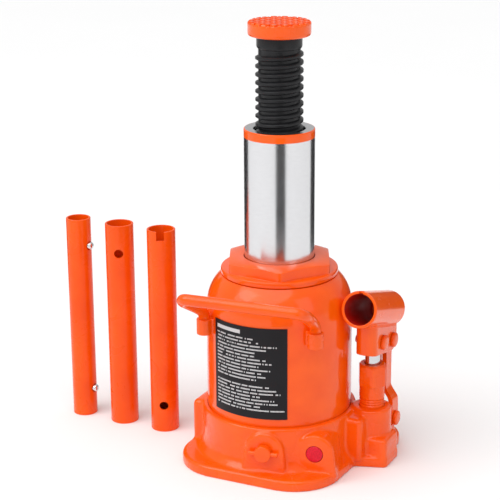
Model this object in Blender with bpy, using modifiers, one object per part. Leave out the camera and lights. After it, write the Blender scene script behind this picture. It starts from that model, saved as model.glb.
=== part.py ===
"""Low-profile hydraulic bottle jack with an extension screw and a three-piece pump handle.

The frame stands on the floor: the origin is the middle of the base's underside, on the ram's axis, and +Z
is up. The valves and the carry handle face -Y, and the hand pump is on the +X side. The jack is drawn
raised: the ram and the extension screw are at the top of their travel. Sizes are in millimetres, and mm()
turns them into metres.
"""

from math import atan2, cos, pi, radians, sin

import bmesh
import bpy
from mathutils import Matrix, Vector

GAP = 0.3  # clearance between neighbouring pieces

# Heights on the ram's axis
PLATE_TOP = 8.0
BORE_FLOOR = 15.0
TANK_FLOOR = 34.0
RIM_TOP = 41.0
SHOULDER = 117.3
TANK_TOP = 143.3
NUT_FLANGE_TOP = 148.2
NUT_TOP = 156.6
WIPER_TOP = 155.0
WIPER_BOTTOM = 150.6
BUSH_TOP = 149.2
BUSH_BOTTOM = 136.8
SKIRT_BOTTOM = 133.0
RAM_SHOULDER = 136.0
RAM_TOP = 252.5
COLLAR_BOTTOM = 311.0
SADDLE_BOTTOM = 319.0
SADDLE_TOP = 330.0

# Radii on the ram's axis
RIM_R = 58.3
TANK_R = 54.5
TANK_WALL = 3.0
SHOULDER_MIDDLE_R = 32.5
SHOULDER_HEIGHT = 30.0
CYLINDER_R = 36.0
CYLINDER_BORE_R = 30.0
RAM_R = 26.0
RAM_BORE_R = 19.0
NUT_FLANGE_R = 43.5
NUT_ACROSS_FLATS = 73.6
SKIRT_R = 38.2
HEX_TURN = radians(25.0)  # how far both hexagons are turned about Z
THREAD_R = 17.4
THREAD_ROOT_R = 15.3
THREAD_PITCH = 6.0
SADDLE_R = 22.75

# The hand pump, its lever and its link
PUMP = Vector((68.6, 17.5, 0.0))
BOSS_TOP = 42.3
BLOCK_TOP = 22.0
SLEEVE_R = 9.5
SLEEVE_TOP = 75.9
PLUNGER_R = 5.6
PLUNGER_PIN_R = 3.0
PLUNGER_PIN = Vector((68.6, 17.5, 93.3))
LINK_TOP_PIN = Vector((68.6, 37.5, 88.8))
LINK_BASE_PIN = Vector((68.6, 37.5, 25.8))
PIN_R = 4.0
SOCKET_FRONT = Vector((68.6, -11.3, 126.8))
SOCKET_BACK = Vector((68.6, 48.0, 109.5))
SOCKET_R = 13.7
SOCKET_BORE_R = 11.5
CHEEK_HALF = 8.2
CHEEK_GAP_HALF = 5.9
CHEEK_WALL = 3.0
CHEEK_FRONT = PLUNGER_PIN.y - 17.5
CHEEK_NOSE = 8.6
EAR_HALF = 7.6
EAR_R = 9.5
LINK_THICK = 3.5

# The two valve bosses on the front of the base: the middle of each face, and the way both faces look
RELEASE = Vector((14.8, -59.0, 24.0))
SAFETY = Vector((48.4, -43.7, 22.5))
VALVE_TURN = radians(12.0)
VALVE_OUT = Vector((sin(VALVE_TURN), -cos(VALVE_TURN), 0.0))
BOSS_R = 14.5

# The carry handle: how far out its ends stand, and how far it is turned round the tank
HANDLE_REACH = 60.0
HANDLE_TURN = radians(4.5)

# The pump handle's three tubes, which stand beside the jack
TUBE_R = 11.0
JOINT_TUBE_R = 9.6
TUBE_LENGTH = 164.0
TUBE_WALL = 1.6
TUBE_SPACING = 37.0
FIRST_TUBE_X = -100.0
BUTTON_INSET = 22.0
TUBE_FACING = radians(-65.0)

ROUND, MEDIUM, SMALL = 32, 20, 12  # steps round large, middle and small turned pieces

MERGE = 0.00001


def mm(*values):
    return Vector(values) * 0.001


def collection(name):
    made = bpy.data.collections.new(name)
    bpy.context.scene.collection.children.link(made)
    return made


def material(name, colour, roughness, metallic):
    made = bpy.data.materials.new(name)
    made.use_nodes = True
    shader = made.node_tree.nodes["Principled BSDF"]
    shader.inputs["Base Color"].default_value = (*colour, 1.0)
    shader.inputs["Roughness"].default_value = roughness
    shader.inputs["Metallic"].default_value = metallic
    made.diffuse_color = (*colour, 1.0)
    return made


for leftover in list(bpy.data.objects):
    bpy.data.objects.remove(leftover)

JACK = collection("bottle_jack")
TOOLS = collection("cutters")

ENAMEL = material("orange_enamel", (1.0, 0.127, 0.013), 0.28, 0.0)
CHROME = material("polished_ram_steel", (0.66, 0.66, 0.68), 0.18, 1.0)
STEEL = material("bright_steel", (0.55, 0.55, 0.57), 0.3, 1.0)
PHOSPHATE = material("black_phosphate", (0.018, 0.018, 0.02), 0.5, 0.5)
BRONZE = material("bearing_bronze", (0.5, 0.3, 0.12), 0.4, 1.0)
RUBBER = material("seal_rubber", (0.012, 0.012, 0.013), 0.7, 0.0)
RED = material("red_plastic", (0.55, 0.008, 0.02), 0.35, 0.0)
PLATE = material("plate_film", (0.03, 0.031, 0.035), 0.45, 0.0)
BRASS = material("strainer_brass", (0.6, 0.42, 0.15), 0.4, 1.0)


def empty(name, at, parent=None):
    """A joint's frame, with its origin on the joint's axis."""
    made = bpy.data.objects.new(name, None)
    made.location = mm(*at) - (world_place(parent) if parent else Vector())
    made.parent = parent
    JACK.objects.link(made)
    return made


def world_place(obj):
    place = Vector()
    while obj:
        place += obj.location
        obj = obj.parent
    return place


def solid(name, bm, paint, at=(0, 0, 0), turn=(0, 0, 0), parent=None, cutter=False):
    """Makes the bmesh an object. `at` is its place in the jack's frame, in millimetres."""
    mesh = bpy.data.meshes.new(name)
    bm.to_mesh(mesh)
    bm.free()
    mesh.shade_smooth()
    mesh.set_sharp_from_angle(angle=radians(35))
    mesh.materials.append(paint)
    made = bpy.data.objects.new(name, mesh)
    made.location = mm(*at) - (world_place(parent) if parent else Vector())
    made.rotation_euler = turn
    made.parent = parent
    made.hide_render = cutter
    if cutter:
        made.display_type = "WIRE"
    (TOOLS if cutter else JACK).objects.link(made)
    return made


def turned(name, profile, paint, steps=MEDIUM, loop=False, **place):
    """A turned piece. Its profile of (radius, height) points runs down the outer side."""
    bm = bmesh.new()
    points = [bm.verts.new(mm(radius, 0, height)) for radius, height in profile]
    for first, second in zip(points, points[1:]):
        bm.edges.new((first, second))
    if loop:
        bm.edges.new((points[-1], points[0]))
    made = solid(name, bm, paint, **place)
    screw = made.modifiers.new("turning", "SCREW")
    screw.steps = screw.render_steps = steps
    screw.use_merge_vertices = True
    screw.merge_threshold = MERGE
    screw.use_normal_calculate = False
    return made


def ring(name, inner, outer, bottom, top, paint, steps=ROUND, **place):
    profile = [(outer, top), (outer, bottom), (inner, bottom), (inner, top)]
    return turned(name, profile, paint, steps, loop=True, **place)


def rod_shape(start, end, radius, steps=SMALL):
    """A cylinder between two points, as a bmesh."""
    start, end = Vector(start), Vector(end)
    run = end - start
    bm = bmesh.new()
    bmesh.ops.create_cone(
        bm, cap_ends=True, segments=steps, radius1=radius * 0.001, radius2=radius * 0.001,
        depth=run.length * 0.001,
    )
    turn = Vector((0, 0, 1)).rotation_difference(run).to_matrix().to_4x4()
    bmesh.ops.transform(bm, matrix=Matrix.Translation(mm(*(start + end) / 2)) @ turn, verts=bm.verts)
    return bm


def box_shape(low, high, round_by=0.0):
    low, high = Vector(low), Vector(high)
    bm = bmesh.new()
    size = Matrix.Diagonal((*mm(*(high - low)), 1.0))
    bmesh.ops.create_cube(bm, size=1.0, matrix=Matrix.Translation(mm(*(low + high) / 2)) @ size)
    if round_by:
        bmesh.ops.bevel(
            bm, geom=bm.edges, offset=round_by * 0.001, segments=2, affect="EDGES", profile=0.5,
            material=-1,
        )
    return bm


def slab_shape(outline, depth, plane):
    """A closed outline of (a, b) points made `depth` thick, centred on its plane: XY, YZ or XZ."""
    bm = bmesh.new()
    place = {
        "XY": lambda a, b: (a, b, 0.0),
        "YZ": lambda a, b: (0.0, a, b),
        "XZ": lambda a, b: (a, 0.0, b),
    }[plane]
    face = bm.faces.new([bm.verts.new(mm(*place(a, b))) for a, b in outline])
    across = {"XY": (0, 0, 1), "YZ": (1, 0, 0), "XZ": (0, 1, 0)}[plane]
    bmesh.ops.translate(bm, verts=bm.verts, vec=mm(*across) * (-depth / 2))
    grown = bmesh.ops.extrude_face_region(bm, geom=[face])["geom"]
    moved = [item for item in grown if isinstance(item, bmesh.types.BMVert)]
    bmesh.ops.translate(bm, verts=moved, vec=mm(*across) * depth)
    bmesh.ops.recalc_face_normals(bm, faces=bm.faces)
    return bm


def arc(centre, radius, start, end, steps):
    """Points on an arc, from one angle to the other, in degrees."""
    angles = [radians(start + (end - start) * i / steps) for i in range(steps + 1)]
    return [(centre[0] + radius * cos(a), centre[1] + radius * sin(a)) for a in angles]


def boolean(obj, other, operation):
    made = obj.modifiers.new(operation.lower(), "BOOLEAN")
    made.operation = operation
    made.object = other


def join(obj, bm, **place):
    boolean(obj, solid(obj.name + "_add", bm, ENAMEL, cutter=True, **place), "UNION")


def cut(obj, bm, **place):
    boolean(obj, solid(obj.name + "_cut", bm, ENAMEL, cutter=True, **place), "DIFFERENCE")


def drill(obj, start, end, radius, steps=SMALL):
    cut(obj, rod_shape(start, end, radius, steps))


def coil(name, radius, wire, turns, start, end, paint, parent=None):
    """A compression spring along a straight line, from one point to the other."""
    start, end = Vector(start), Vector(end)
    steps = 8
    curve = bpy.data.curves.new(name, "CURVE")
    curve.dimensions = "3D"
    curve.bevel_depth = wire * 0.001
    curve.bevel_resolution = 0
    curve.use_fill_caps = True
    count = turns * steps + 1
    spline = curve.splines.new("POLY")
    spline.points.add(count - 1)
    turn = Vector((0, 0, 1)).rotation_difference(end - start).to_matrix()
    for i, point in enumerate(spline.points):
        angle = 2 * pi * i / steps
        along = (end - start).length * i / (count - 1)
        place = start + turn @ Vector((radius * cos(angle), radius * sin(angle), along))
        point.co = (*(mm(*place)), 1.0)
    curve.materials.append(paint)
    made = bpy.data.objects.new(name, curve)
    made.parent = parent
    made.location = -world_place(parent) if parent else Vector()
    JACK.objects.link(made)
    return made


def ball(name, at, radius, paint=STEEL):
    bm = bmesh.new()
    bmesh.ops.create_uvsphere(bm, u_segments=10, v_segments=6, radius=radius * 0.001)
    return solid(name, bm, paint, at=at)


def base_outline():
    """The foot plate seen from above, anticlockwise from the left of the front edge."""
    return [
        *arc((-26.0, -32.2), 36.0, 180, 270, 8),
        *arc((26.5, -31.2), 37.0, 270, 360, 8),
        (64.5, -6.0),
        *arc((83.5, 4.0), 4.0, 270, 360, 3),
        *arc((83.5, 24.0), 4.0, 0, 60, 3),
        (80.5, 34.0),
        *arc((54.5, 42.2), 26.0, 0, 90, 6),
        *arc((-26.0, 32.2), 36.0, 90, 180, 8),
    ]


def base_plate_shape():
    bm = slab_shape(base_outline(), PLATE_TOP, "XY")
    bmesh.ops.translate(bm, verts=bm.verts, vec=mm(0, 0, PLATE_TOP / 2))
    top = [
        edge for edge in bm.edges
        if all(abs(vert.co.z - PLATE_TOP * 0.001) < MERGE for vert in edge.verts)
    ]
    bmesh.ops.bevel(bm, geom=top, offset=0.0025, segments=2, affect="EDGES", profile=0.5, material=-1)
    return bm


def valve_boss_shape(height, depth):
    """An arched boss that faces -Y from the origin, with sides that splay out towards the plate."""
    foot = PLATE_TOP - 3.0
    outline = [(-BOSS_R - 1.2, foot), (BOSS_R + 1.2, foot), *arc((0, height), BOSS_R, 0, 180, 10)]
    bm = slab_shape(outline, depth, "XZ")
    bmesh.ops.translate(bm, verts=bm.verts, vec=mm(0, depth / 2, 0))
    front = [
        edge for edge in bm.edges
        if all(abs(vert.co.y) < MERGE for vert in edge.verts)
        and max(vert.co.z for vert in edge.verts) > foot * 0.001 + MERGE
    ]
    bmesh.ops.bevel(bm, geom=front, offset=0.0016, segments=2, affect="EDGES", profile=0.5, material=-1)
    return bm


def base_casting():
    base = solid("base_casting", base_plate_shape(), ENAMEL)
    collar = [(0, RIM_TOP), (56.9, RIM_TOP), (RIM_R, 39.6), (RIM_R, 17.0), (59.3, 12.6), (62.0, 9.0),
              (62.6, 6.0), (0, 6.0)]
    boolean(base, turned("collar_add", collar, ENAMEL, ROUND, cutter=True), "UNION")
    join(base, box_shape((-61.0, -27.0, 5.0), (-40.0, 27.0, RIM_TOP - 0.8), 3.5))
    join(base, box_shape((44.0, -8.0, 4.5), (PUMP.x + 2.0, PUMP.y + 12.0, RIM_TOP - 2.5), 3.0))
    join(base, box_shape((52.0, 0.6, 3.5), (86.9, 27.4, BLOCK_TOP), 3.0))
    boss = [(0, BOSS_TOP), (14.0, BOSS_TOP), (15.0, BOSS_TOP - 1.0), (15.0, 7.0), (0, 7.0)]
    boolean(base, turned("pump_boss_add", boss, ENAMEL, 32, at=PUMP, cutter=True), "UNION")
    ear_back, ear_front = LINK_BASE_PIN.y + EAR_R + 1.5, PUMP.y + 9.0
    ear = [(ear_front, 4.0), (ear_back, 4.0),
           *arc((LINK_BASE_PIN.y, LINK_BASE_PIN.z), EAR_R, 0, 160, 8), (ear_front, 30.0)]
    join(base, slab_shape(ear, 2 * EAR_HALF, "YZ"), at=(PUMP.x, 0, 0))
    for face, depth in ((RELEASE, 18.0), (SAFETY, 24.0)):
        join(base, valve_boss_shape(face.z, depth), at=(face.x, face.y, 0), turn=(0, 0, VALVE_TURN))

    socket = [(0, 60.0), (TANK_R + GAP, 60.0), (TANK_R + GAP, TANK_FLOOR), (CYLINDER_R + GAP, TANK_FLOOR),
              (CYLINDER_R + GAP, BORE_FLOOR), (0, BORE_FLOOR)]
    boolean(base, turned("socket_cut", socket, ENAMEL, ROUND, cutter=True), "DIFFERENCE")
    drill(base, PUMP + Vector((0, 0, 60)), PUMP + Vector((0, 0, 18.8)), SLEEVE_R + GAP, MEDIUM)
    drill(base, PUMP + Vector((0, 0, 25)), PUMP + Vector((0, 0, 7.0)), 3.4)
    drill(base, (PUMP.x, PUMP.y, 16.0), (25.0, PUMP.y, 16.0), 3.4)
    drill(base, (34.0, 30.0, 45.0), (34.0, 30.0, 9.0), 3.4)
    drill(base, (34.0, 30.0, 9.5), (PUMP.x, PUMP.y, 9.5), 2.2)
    drill(base, RELEASE + 20 * VALVE_OUT, RELEASE - 12 * VALVE_OUT, 5.4)
    drill(base, RELEASE, RELEASE - 30 * VALVE_OUT, 2.2)
    drill(base, SAFETY + 20 * VALVE_OUT, SAFETY - 20 * VALVE_OUT, 6.4)
    side = Vector((EAR_HALF + 6.0, 0, 0))
    drill(base, LINK_BASE_PIN - side, LINK_BASE_PIN + side, PIN_R + GAP)


def shoulder_curve(shell, first, last):
    """The tank's rounded shoulder, `shell` inside its outer face, from one angle to the other in degrees."""
    wide, tall = TANK_R - SHOULDER_MIDDLE_R - shell, SHOULDER_HEIGHT - shell
    return [(SHOULDER_MIDDLE_R + wide * x, SHOULDER + tall * z) for x, z in arc((0, 0), 1.0, first, last, 7)]


def tank():
    """The oil tank: a deep-drawn shell with a rounded shoulder, open at both ends."""
    bottom = TANK_FLOOR + 2.1
    inner = TANK_R - TANK_WALL
    mouth = NUT_FLANGE_R - 5.0
    lip = TANK_TOP - TANK_WALL - 1.0
    profile = [(mouth, TANK_TOP), *shoulder_curve(0.0, 60, 0), (TANK_R, bottom), (inner, bottom),
               *shoulder_curve(TANK_WALL, 0, 54), (mouth, lip)]
    turned("reservoir_tank", profile, ENAMEL, ROUND, loop=True)
    ring("tank_seal", 50.0, TANK_R, TANK_FLOOR + GAP, TANK_FLOOR + 1.8, RUBBER)


def pressure_cylinder():
    ring("cylinder_gasket", CYLINDER_BORE_R + 0.4, CYLINDER_R, BORE_FLOOR + GAP, BORE_FLOOR + 2.0, BRONZE)
    ring("pressure_cylinder", CYLINDER_BORE_R, CYLINDER_R, BORE_FLOOR + 2.3, 136.3, STEEL)


def top_nut():
    """The gland nut: a hexagon with chamfered corners on a round flange, bored for the bush and wiper."""
    nut = turned(
        "top_nut",
        [(0, NUT_TOP - 2.0), (34.0, NUT_TOP - 2.0), (34.0, NUT_FLANGE_TOP),
         (NUT_FLANGE_R - 1.0, NUT_FLANGE_TOP), (NUT_FLANGE_R, NUT_FLANGE_TOP - 1.2),
         (NUT_FLANGE_R, TANK_TOP + 1.2), (NUT_FLANGE_R - 1.0, TANK_TOP + GAP),
         (SKIRT_R, TANK_TOP + GAP), (SKIRT_R, SKIRT_BOTTOM), (0, SKIRT_BOTTOM)],
        ENAMEL, ROUND,
    )
    corner_r = NUT_ACROSS_FLATS / 2 / cos(pi / 6)
    hexagon = solid(
        "hexagon_add",
        rod_shape((0, 0, NUT_FLANGE_TOP - 2.0), (0, 0, NUT_TOP), corner_r, 6),
        ENAMEL, turn=(0, 0, HEX_TURN), cutter=True,
    )
    chamfer = [(0, NUT_TOP), (NUT_ACROSS_FLATS / 2 - 1.8, NUT_TOP), (corner_r + 0.4, NUT_TOP - 2.0),
               (corner_r + 0.4, 130.0), (0, 130.0)]
    boolean(hexagon, turned("chamfer_keep", chamfer, ENAMEL, ROUND, cutter=True), "INTERSECT")
    boolean(nut, hexagon, "UNION")
    close, groove, seat = RAM_R + 0.6, RAM_R + 4.0, RAM_R + 3.0
    bore = [(0, 170.0), (close, 170.0), (close, WIPER_TOP), (groove, WIPER_TOP), (groove, WIPER_BOTTOM),
            (close, WIPER_BOTTOM), (close, BUSH_TOP), (seat, BUSH_TOP), (seat, BUSH_BOTTOM),
            (CYLINDER_R + GAP, BUSH_BOTTOM), (CYLINDER_R + GAP, 120.0), (0, 120.0)]
    boolean(nut, turned("bore_cut", bore, ENAMEL, ROUND, cutter=True), "DIFFERENCE")
    ring("ram_wiper", RAM_R + 0.25, groove - GAP, WIPER_BOTTOM + GAP, WIPER_TOP - GAP, RUBBER)
    ring("ram_guide_bush", RAM_R + 0.25, seat - GAP, BUSH_BOTTOM + GAP, BUSH_TOP - GAP, BRONZE)


def ram():
    """The ram, with its piston, seal, wear ring and nut at the bottom, at the top of its stroke."""
    frame = empty("ram_lift", (0, 0, RAM_TOP))
    profile = [(RAM_BORE_R, RAM_TOP), (RAM_R - 0.8, RAM_TOP), (RAM_R, RAM_TOP - 0.8), (RAM_R, RAM_SHOULDER),
               (15.0, RAM_SHOULDER), (15.0, 112.0), (0, 112.0)]
    inner = [(0, 152.0), (RAM_BORE_R, 152.0)]
    at = (0, 0, 0)
    turned("ram", [*inner, *profile], CHROME, ROUND, parent=frame, at=at)
    piston = [(29.7, 135.7), (29.7, 131.0), (27.6, 131.0), (27.6, 126.6), (29.7, 126.6), (29.7, 124.6),
              (24.6, 124.6), (24.6, 119.6), (29.7, 119.6), (29.7, 118.0), (15.3, 118.0), (15.3, 135.7)]
    turned("ram_piston", piston, STEEL, ROUND, loop=True, parent=frame, at=at)
    ring("piston_wear_ring", 27.9, 29.75, 126.9, 130.7, BRONZE, parent=frame, at=at)
    ring("piston_seal", 24.9, 29.75, 119.9, 124.3, RUBBER, parent=frame, at=at)
    nut = solid("piston_nut", rod_shape((0, 0, 110.5), (0, 0, 117.7), 23.0, 6), STEEL, parent=frame, at=at)
    cut(nut, rod_shape((0, 0, 100.0), (0, 0, 125.0), 15.3, ROUND))
    return frame


def thread_shape(bottom, top):
    """One square-crested helical ridge, rooted inside the screw's core."""
    bm = bmesh.new()
    inside = THREAD_ROOT_R - 1.2
    section = [(inside, -2.6), (THREAD_R, -0.9), (THREAD_R, 0.9), (inside, 2.6)]
    face = bm.faces.new([bm.verts.new(mm(r, 0, bottom + z)) for r, z in section])
    turns = (top - bottom) / THREAD_PITCH
    steps = int(turns * 12)
    bmesh.ops.spin(
        bm, geom=[face], cent=(0, 0, 0), axis=(0, 0, 1), dvec=mm(0, 0, (top - bottom) / steps),
        angle=2 * pi * turns, steps=steps, use_merge=False, use_duplicate=False,
    )
    bmesh.ops.remove_doubles(bm, verts=bm.verts, dist=1e-7)
    bmesh.ops.recalc_face_normals(bm, faces=bm.faces)
    return bm


def extension_screw(ram_frame):
    """The screw that winds up out of the ram, its stop ring, and the saddle fixed on its head."""
    rise = empty("screw_rise", (0, 0, 225.0), ram_frame)
    turn = empty("screw_turn", (0, 0, 225.0), rise)
    core = [(0, SADDLE_BOTTOM + 5.5), (8.0, SADDLE_BOTTOM + 5.5), (8.0, SADDLE_BOTTOM), (16.0, SADDLE_BOTTOM),
            (16.5, SADDLE_BOTTOM - 0.5), (16.5, COLLAR_BOTTOM + 0.5), (16.0, COLLAR_BOTTOM),
            (THREAD_ROOT_R, COLLAR_BOTTOM - 0.5), (THREAD_ROOT_R, 229.5), (10.0, 229.5), (10.0, 225.6),
            (12.5, 225.6), (12.5, 223.0), (0, 223.0)]
    screw = turned("extension_screw", core, PHOSPHATE, MEDIUM, parent=turn)
    thread = thread_shape(234.0, COLLAR_BOTTOM - 3.4)
    boolean(screw, solid("thread_add", thread, PHOSPHATE, cutter=True), "UNION")
    ring("screw_stop_ring", 10.4, 18.6, 226.0, 229.1, STEEL, MEDIUM, parent=rise)
    saddle = turned(
        "saddle",
        [(0, SADDLE_TOP), (20.6, SADDLE_TOP), (22.1, SADDLE_TOP - 0.7), (SADDLE_R, SADDLE_TOP - 2.2),
         (SADDLE_R, SADDLE_BOTTOM + 2.2), (22.1, SADDLE_BOTTOM + 0.9), (20.6, SADDLE_BOTTOM + GAP),
         (8.3, SADDLE_BOTTOM + GAP), (8.3, SADDLE_BOTTOM + 5.8), (0, SADDLE_BOTTOM + 5.8)],
        ENAMEL, ROUND, parent=turn,
    )
    pitch, groove, depth = 5.5, 1.7, 1.8
    for angle in (radians(70), radians(160)):
        for step in range(-4, 4):
            across = (step + 0.5) * pitch
            low = (-30, across - groove / 2, SADDLE_TOP - depth)
            cut(saddle, box_shape(low, (30, across + groove / 2, 340.0)), turn=(0, 0, angle))


def hand_pump():
    """The pump's sleeve, screwed into the base, with its gland seal, and the plunger that works in it."""
    bore = PLUNGER_R + 0.35
    corner = 19.5 / 2 / cos(pi / 6)
    sleeve = turned(
        "pump_sleeve",
        [(0, 61.0), (SLEEVE_R, 61.0), (SLEEVE_R, 48.5), (8.7, 47.8), (SLEEVE_R, 47.1), (8.7, 46.2),
         (SLEEVE_R, 45.3), (8.7, 44.4), (SLEEVE_R, 43.5), (SLEEVE_R, 21.0), (0, 21.0)],
        ENAMEL, MEDIUM, at=PUMP,
    )
    hexagon = solid(
        "sleeve_hexagon_add", rod_shape((0, 0, 58.0), (0, 0, SLEEVE_TOP), corner, 6), ENAMEL,
        at=PUMP, turn=(0, 0, HEX_TURN), cutter=True,
    )
    keep = [(0, SLEEVE_TOP), (8.6, SLEEVE_TOP), (corner + 0.3, SLEEVE_TOP - 2.0), (corner + 0.3, 61.0),
            (9.0, 58.5), (0, 58.5)]
    boolean(hexagon, turned("sleeve_keep", keep, ENAMEL, MEDIUM, at=PUMP, cutter=True), "INTERSECT")
    boolean(sleeve, hexagon, "UNION")
    hole = [(0, 90.0), (bore, 90.0), (bore, 56.2), (8.2, 56.2), (8.2, 51.0), (bore, 51.0), (bore, 15.0),
            (0, 15.0)]
    boolean(sleeve, turned("sleeve_cut", hole, ENAMEL, MEDIUM, at=PUMP, cutter=True), "DIFFERENCE")
    ring("gland_seal", PLUNGER_R + 0.2, 7.9, 51.4, 55.8, RUBBER, MEDIUM, at=PUMP)
    ring("sleeve_gasket", 6.4, SLEEVE_R - 0.1, 19.1, 20.7, BRONZE, MEDIUM, at=PUMP)

    stroke = empty("plunger_stroke", PLUNGER_PIN)
    plunger = turned(
        "pump_plunger",
        [(0, 99.8), (4.4, 99.8), (PLUNGER_R, 98.6), (PLUNGER_R, 33.5), (4.4, 33.5), (4.4, 30.5),
         (PLUNGER_R, 30.5), (PLUNGER_R, 28.4), (5.2, 27.8), (0, 27.8)],
        STEEL, MEDIUM, at=PUMP, parent=stroke,
    )
    side = Vector((20, 0, 0))
    cut(plunger, rod_shape(PLUNGER_PIN - side, PLUNGER_PIN + side, PLUNGER_PIN_R + 1.4, MEDIUM))
    ring("plunger_seal", 4.7, PLUNGER_R + 0.05, 30.8, 33.2, RUBBER, MEDIUM, at=PUMP, parent=stroke)


def pump_valves():
    """The balls, springs and strainer that sit in the base's oil passages."""
    ball("suction_ball", (PUMP.x, PUMP.y, 13.0 - 2.6), 3.0)
    coil("suction_spring", 2.4, 0.4, 3, (PUMP.x, PUMP.y, 13.8), (PUMP.x, PUMP.y, 18.0), STEEL)
    ball("delivery_ball", (54.0, PUMP.y, 16.0), 3.0)
    coil("delivery_spring", 2.4, 0.4, 5, (50.4, PUMP.y, 16.0), (36.0, PUMP.y, 16.0), STEEL)
    turned(
        "suction_strainer",
        [(0, 25.0), (2.5, 25.0), (2.5, 36.0), (3.1, 36.0), (3.1, 24.0), (0, 24.0)], BRASS, SMALL,
        at=(34.0, 30.0, 0.0),
    )


def release_valve():
    """The turned screw that opens the return passage, with a tommy pin through its head."""
    frame = empty("release_turn", RELEASE)
    facing = (radians(90), 0, VALVE_TURN)
    stem = turned(
        "release_valve_stem",
        [(0, 5.4), (5.3, 5.4), (6.25, 4.6), (6.25, 0.4), (5.0, 0.4), (5.0, -2.4), (3.8, -2.4), (3.8, -4.6),
         (5.0, -4.6), (5.0, -5.2), (2.0, -6.4), (0, -6.4)],
        ENAMEL, MEDIUM, at=RELEASE, turn=facing, parent=frame,
    )
    pin_place = RELEASE + 2.9 * VALVE_OUT
    along = Vector((cos(VALVE_TURN), sin(VALVE_TURN), 0))
    cut(stem, rod_shape(pin_place - 20 * along, pin_place + 20 * along, 1.9))
    cross_pin = rod_shape(-11 * along, 11 * along, 1.6)
    solid("release_cross_pin", cross_pin, ENAMEL, at=pin_place, parent=frame)
    ring("release_valve_seal", 4.1, 5.05, -4.3, -2.7, RUBBER, SMALL, at=RELEASE, turn=facing, parent=frame)
    ball("release_ball", RELEASE - 9.9 * VALVE_OUT, 2.8)


def safety_valve():
    """The overload valve behind the red plug, set at the works and never touched."""
    turned(
        "safety_plug", [(0, 0.8), (5.2, 0.8), (6.1, 0.2), (6.1, -5.0), (0, -5.0)], RED, MEDIUM,
        at=SAFETY, turn=(radians(90), 0, VALVE_TURN),
    )
    ball("safety_ball", SAFETY - 16.6 * VALVE_OUT, 3.0)
    coil("safety_spring", 3.6, 0.5, 3, SAFETY - 12.8 * VALVE_OUT, SAFETY - 5.9 * VALVE_OUT, STEEL)


def socket_height(y):
    """The height of the socket tube's axis at a given Y."""
    slope = (SOCKET_BACK.z - SOCKET_FRONT.z) / (SOCKET_BACK.y - SOCKET_FRONT.y)
    return SOCKET_FRONT.z + slope * (y - SOCKET_FRONT.y)


def cheek_outline():
    """The bent bracket under the tube, in Y and Z: square at its front, and round below the link's pin."""
    back = LINK_TOP_PIN.y + CHEEK_NOSE
    low = PLUNGER_PIN.z - 6.0
    return [
        (CHEEK_FRONT, socket_height(CHEEK_FRONT) - 6.0),
        (CHEEK_FRONT, low + 3.0),
        (CHEEK_FRONT + 0.9, low + 0.9),
        (CHEEK_FRONT + 3.0, low),
        *arc((LINK_TOP_PIN.y, LINK_TOP_PIN.z), CHEEK_NOSE, 258, 360, 7),
        (back, socket_height(back) - 6.0),
    ]


def socket_gap_outline():
    """The gap between the cheeks, in Y and Z: open at the back, with a roof just under the tube."""
    front, back, floor = CHEEK_FRONT + CHEEK_WALL, 60.0, 70.0
    under = SOCKET_R + 0.9
    return [(front, floor), (back, floor), (back, socket_height(back) - under),
            (front, socket_height(front) - under)]


def bent_slab(outline, width, front, bend):
    """A slab across X whose upright front corners are rounded, as a bent strip's are."""
    bm = slab_shape(outline, width, "YZ")
    corners = [edge for edge in bm.edges if all(abs(vert.co.y - front * 0.001) < MERGE for vert in edge.verts)
               and abs(edge.verts[0].co.x - edge.verts[1].co.x) < MERGE]
    bmesh.ops.bevel(
        bm, geom=corners, offset=bend * 0.001, segments=4, affect="EDGES", profile=0.5, material=-1
    )
    return bm


def handle_socket():
    """A pressed socket: a tube for the pump handle, with two cheeks that hold the plunger and the link."""
    frame = empty("socket_tilt", LINK_TOP_PIN, LINK_FRAME)
    run = (SOCKET_BACK - SOCKET_FRONT).normalized()
    tube = solid("handle_socket", rod_shape(SOCKET_FRONT, SOCKET_BACK, SOCKET_R, 28), ENAMEL, parent=frame)
    join(tube, bent_slab(cheek_outline(), 2 * CHEEK_HALF, CHEEK_FRONT, 6.5), at=(PUMP.x, 0, 0))
    cut(tube, bent_slab(socket_gap_outline(), 2 * CHEEK_GAP_HALF, CHEEK_FRONT + CHEEK_WALL, 4.0),
        at=(PUMP.x, 0, 0))
    cut(tube, rod_shape(SOCKET_FRONT - 10 * run, SOCKET_BACK - 4 * run, SOCKET_BORE_R, 28))
    cut(tube, rod_shape(SOCKET_FRONT, SOCKET_BACK + 10 * run, 6.5, MEDIUM))
    tilt = atan2(run.z, run.y)
    cut(tube, box_shape((-1.2, -6.0, 9.0), (1.2, 3.0, 18.0)), at=SOCKET_FRONT, turn=(tilt, 0, 0))
    side = Vector((20, 0, 0))
    for pin, radius in ((PLUNGER_PIN, PLUNGER_PIN_R), (LINK_TOP_PIN, PIN_R)):
        cut(tube, rod_shape(pin - side, pin + side, radius + GAP))
    headed_pin("plunger_pin", PLUNGER_PIN, PLUNGER_PIN_R, CHEEK_HALF, frame)


def headed_pin(name, at, radius, half, parent):
    """A clevis pin along X, with its head on the +X side and a split clip on the other."""
    head = half + GAP
    end = -half - 5.0
    turned(
        name,
        [(0, head + 2.8), (4.6, head + 2.8), (5.5, head + 2.1), (5.5, head), (radius, head),
         (radius, end + 3.2), (radius - 0.9, end + 3.2), (radius - 0.9, end + 1.6), (radius, end + 1.6),
         (radius - 0.6, end), (0, end)],
        ENAMEL, SMALL, at=at, turn=(0, radians(90), 0), parent=parent,
    )
    ring(name + "_clip", radius - 0.6, radius + 2.0, end + 1.9, end + 2.9, STEEL, SMALL, at=at,
         turn=(0, radians(90), 0), parent=parent)


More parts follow.
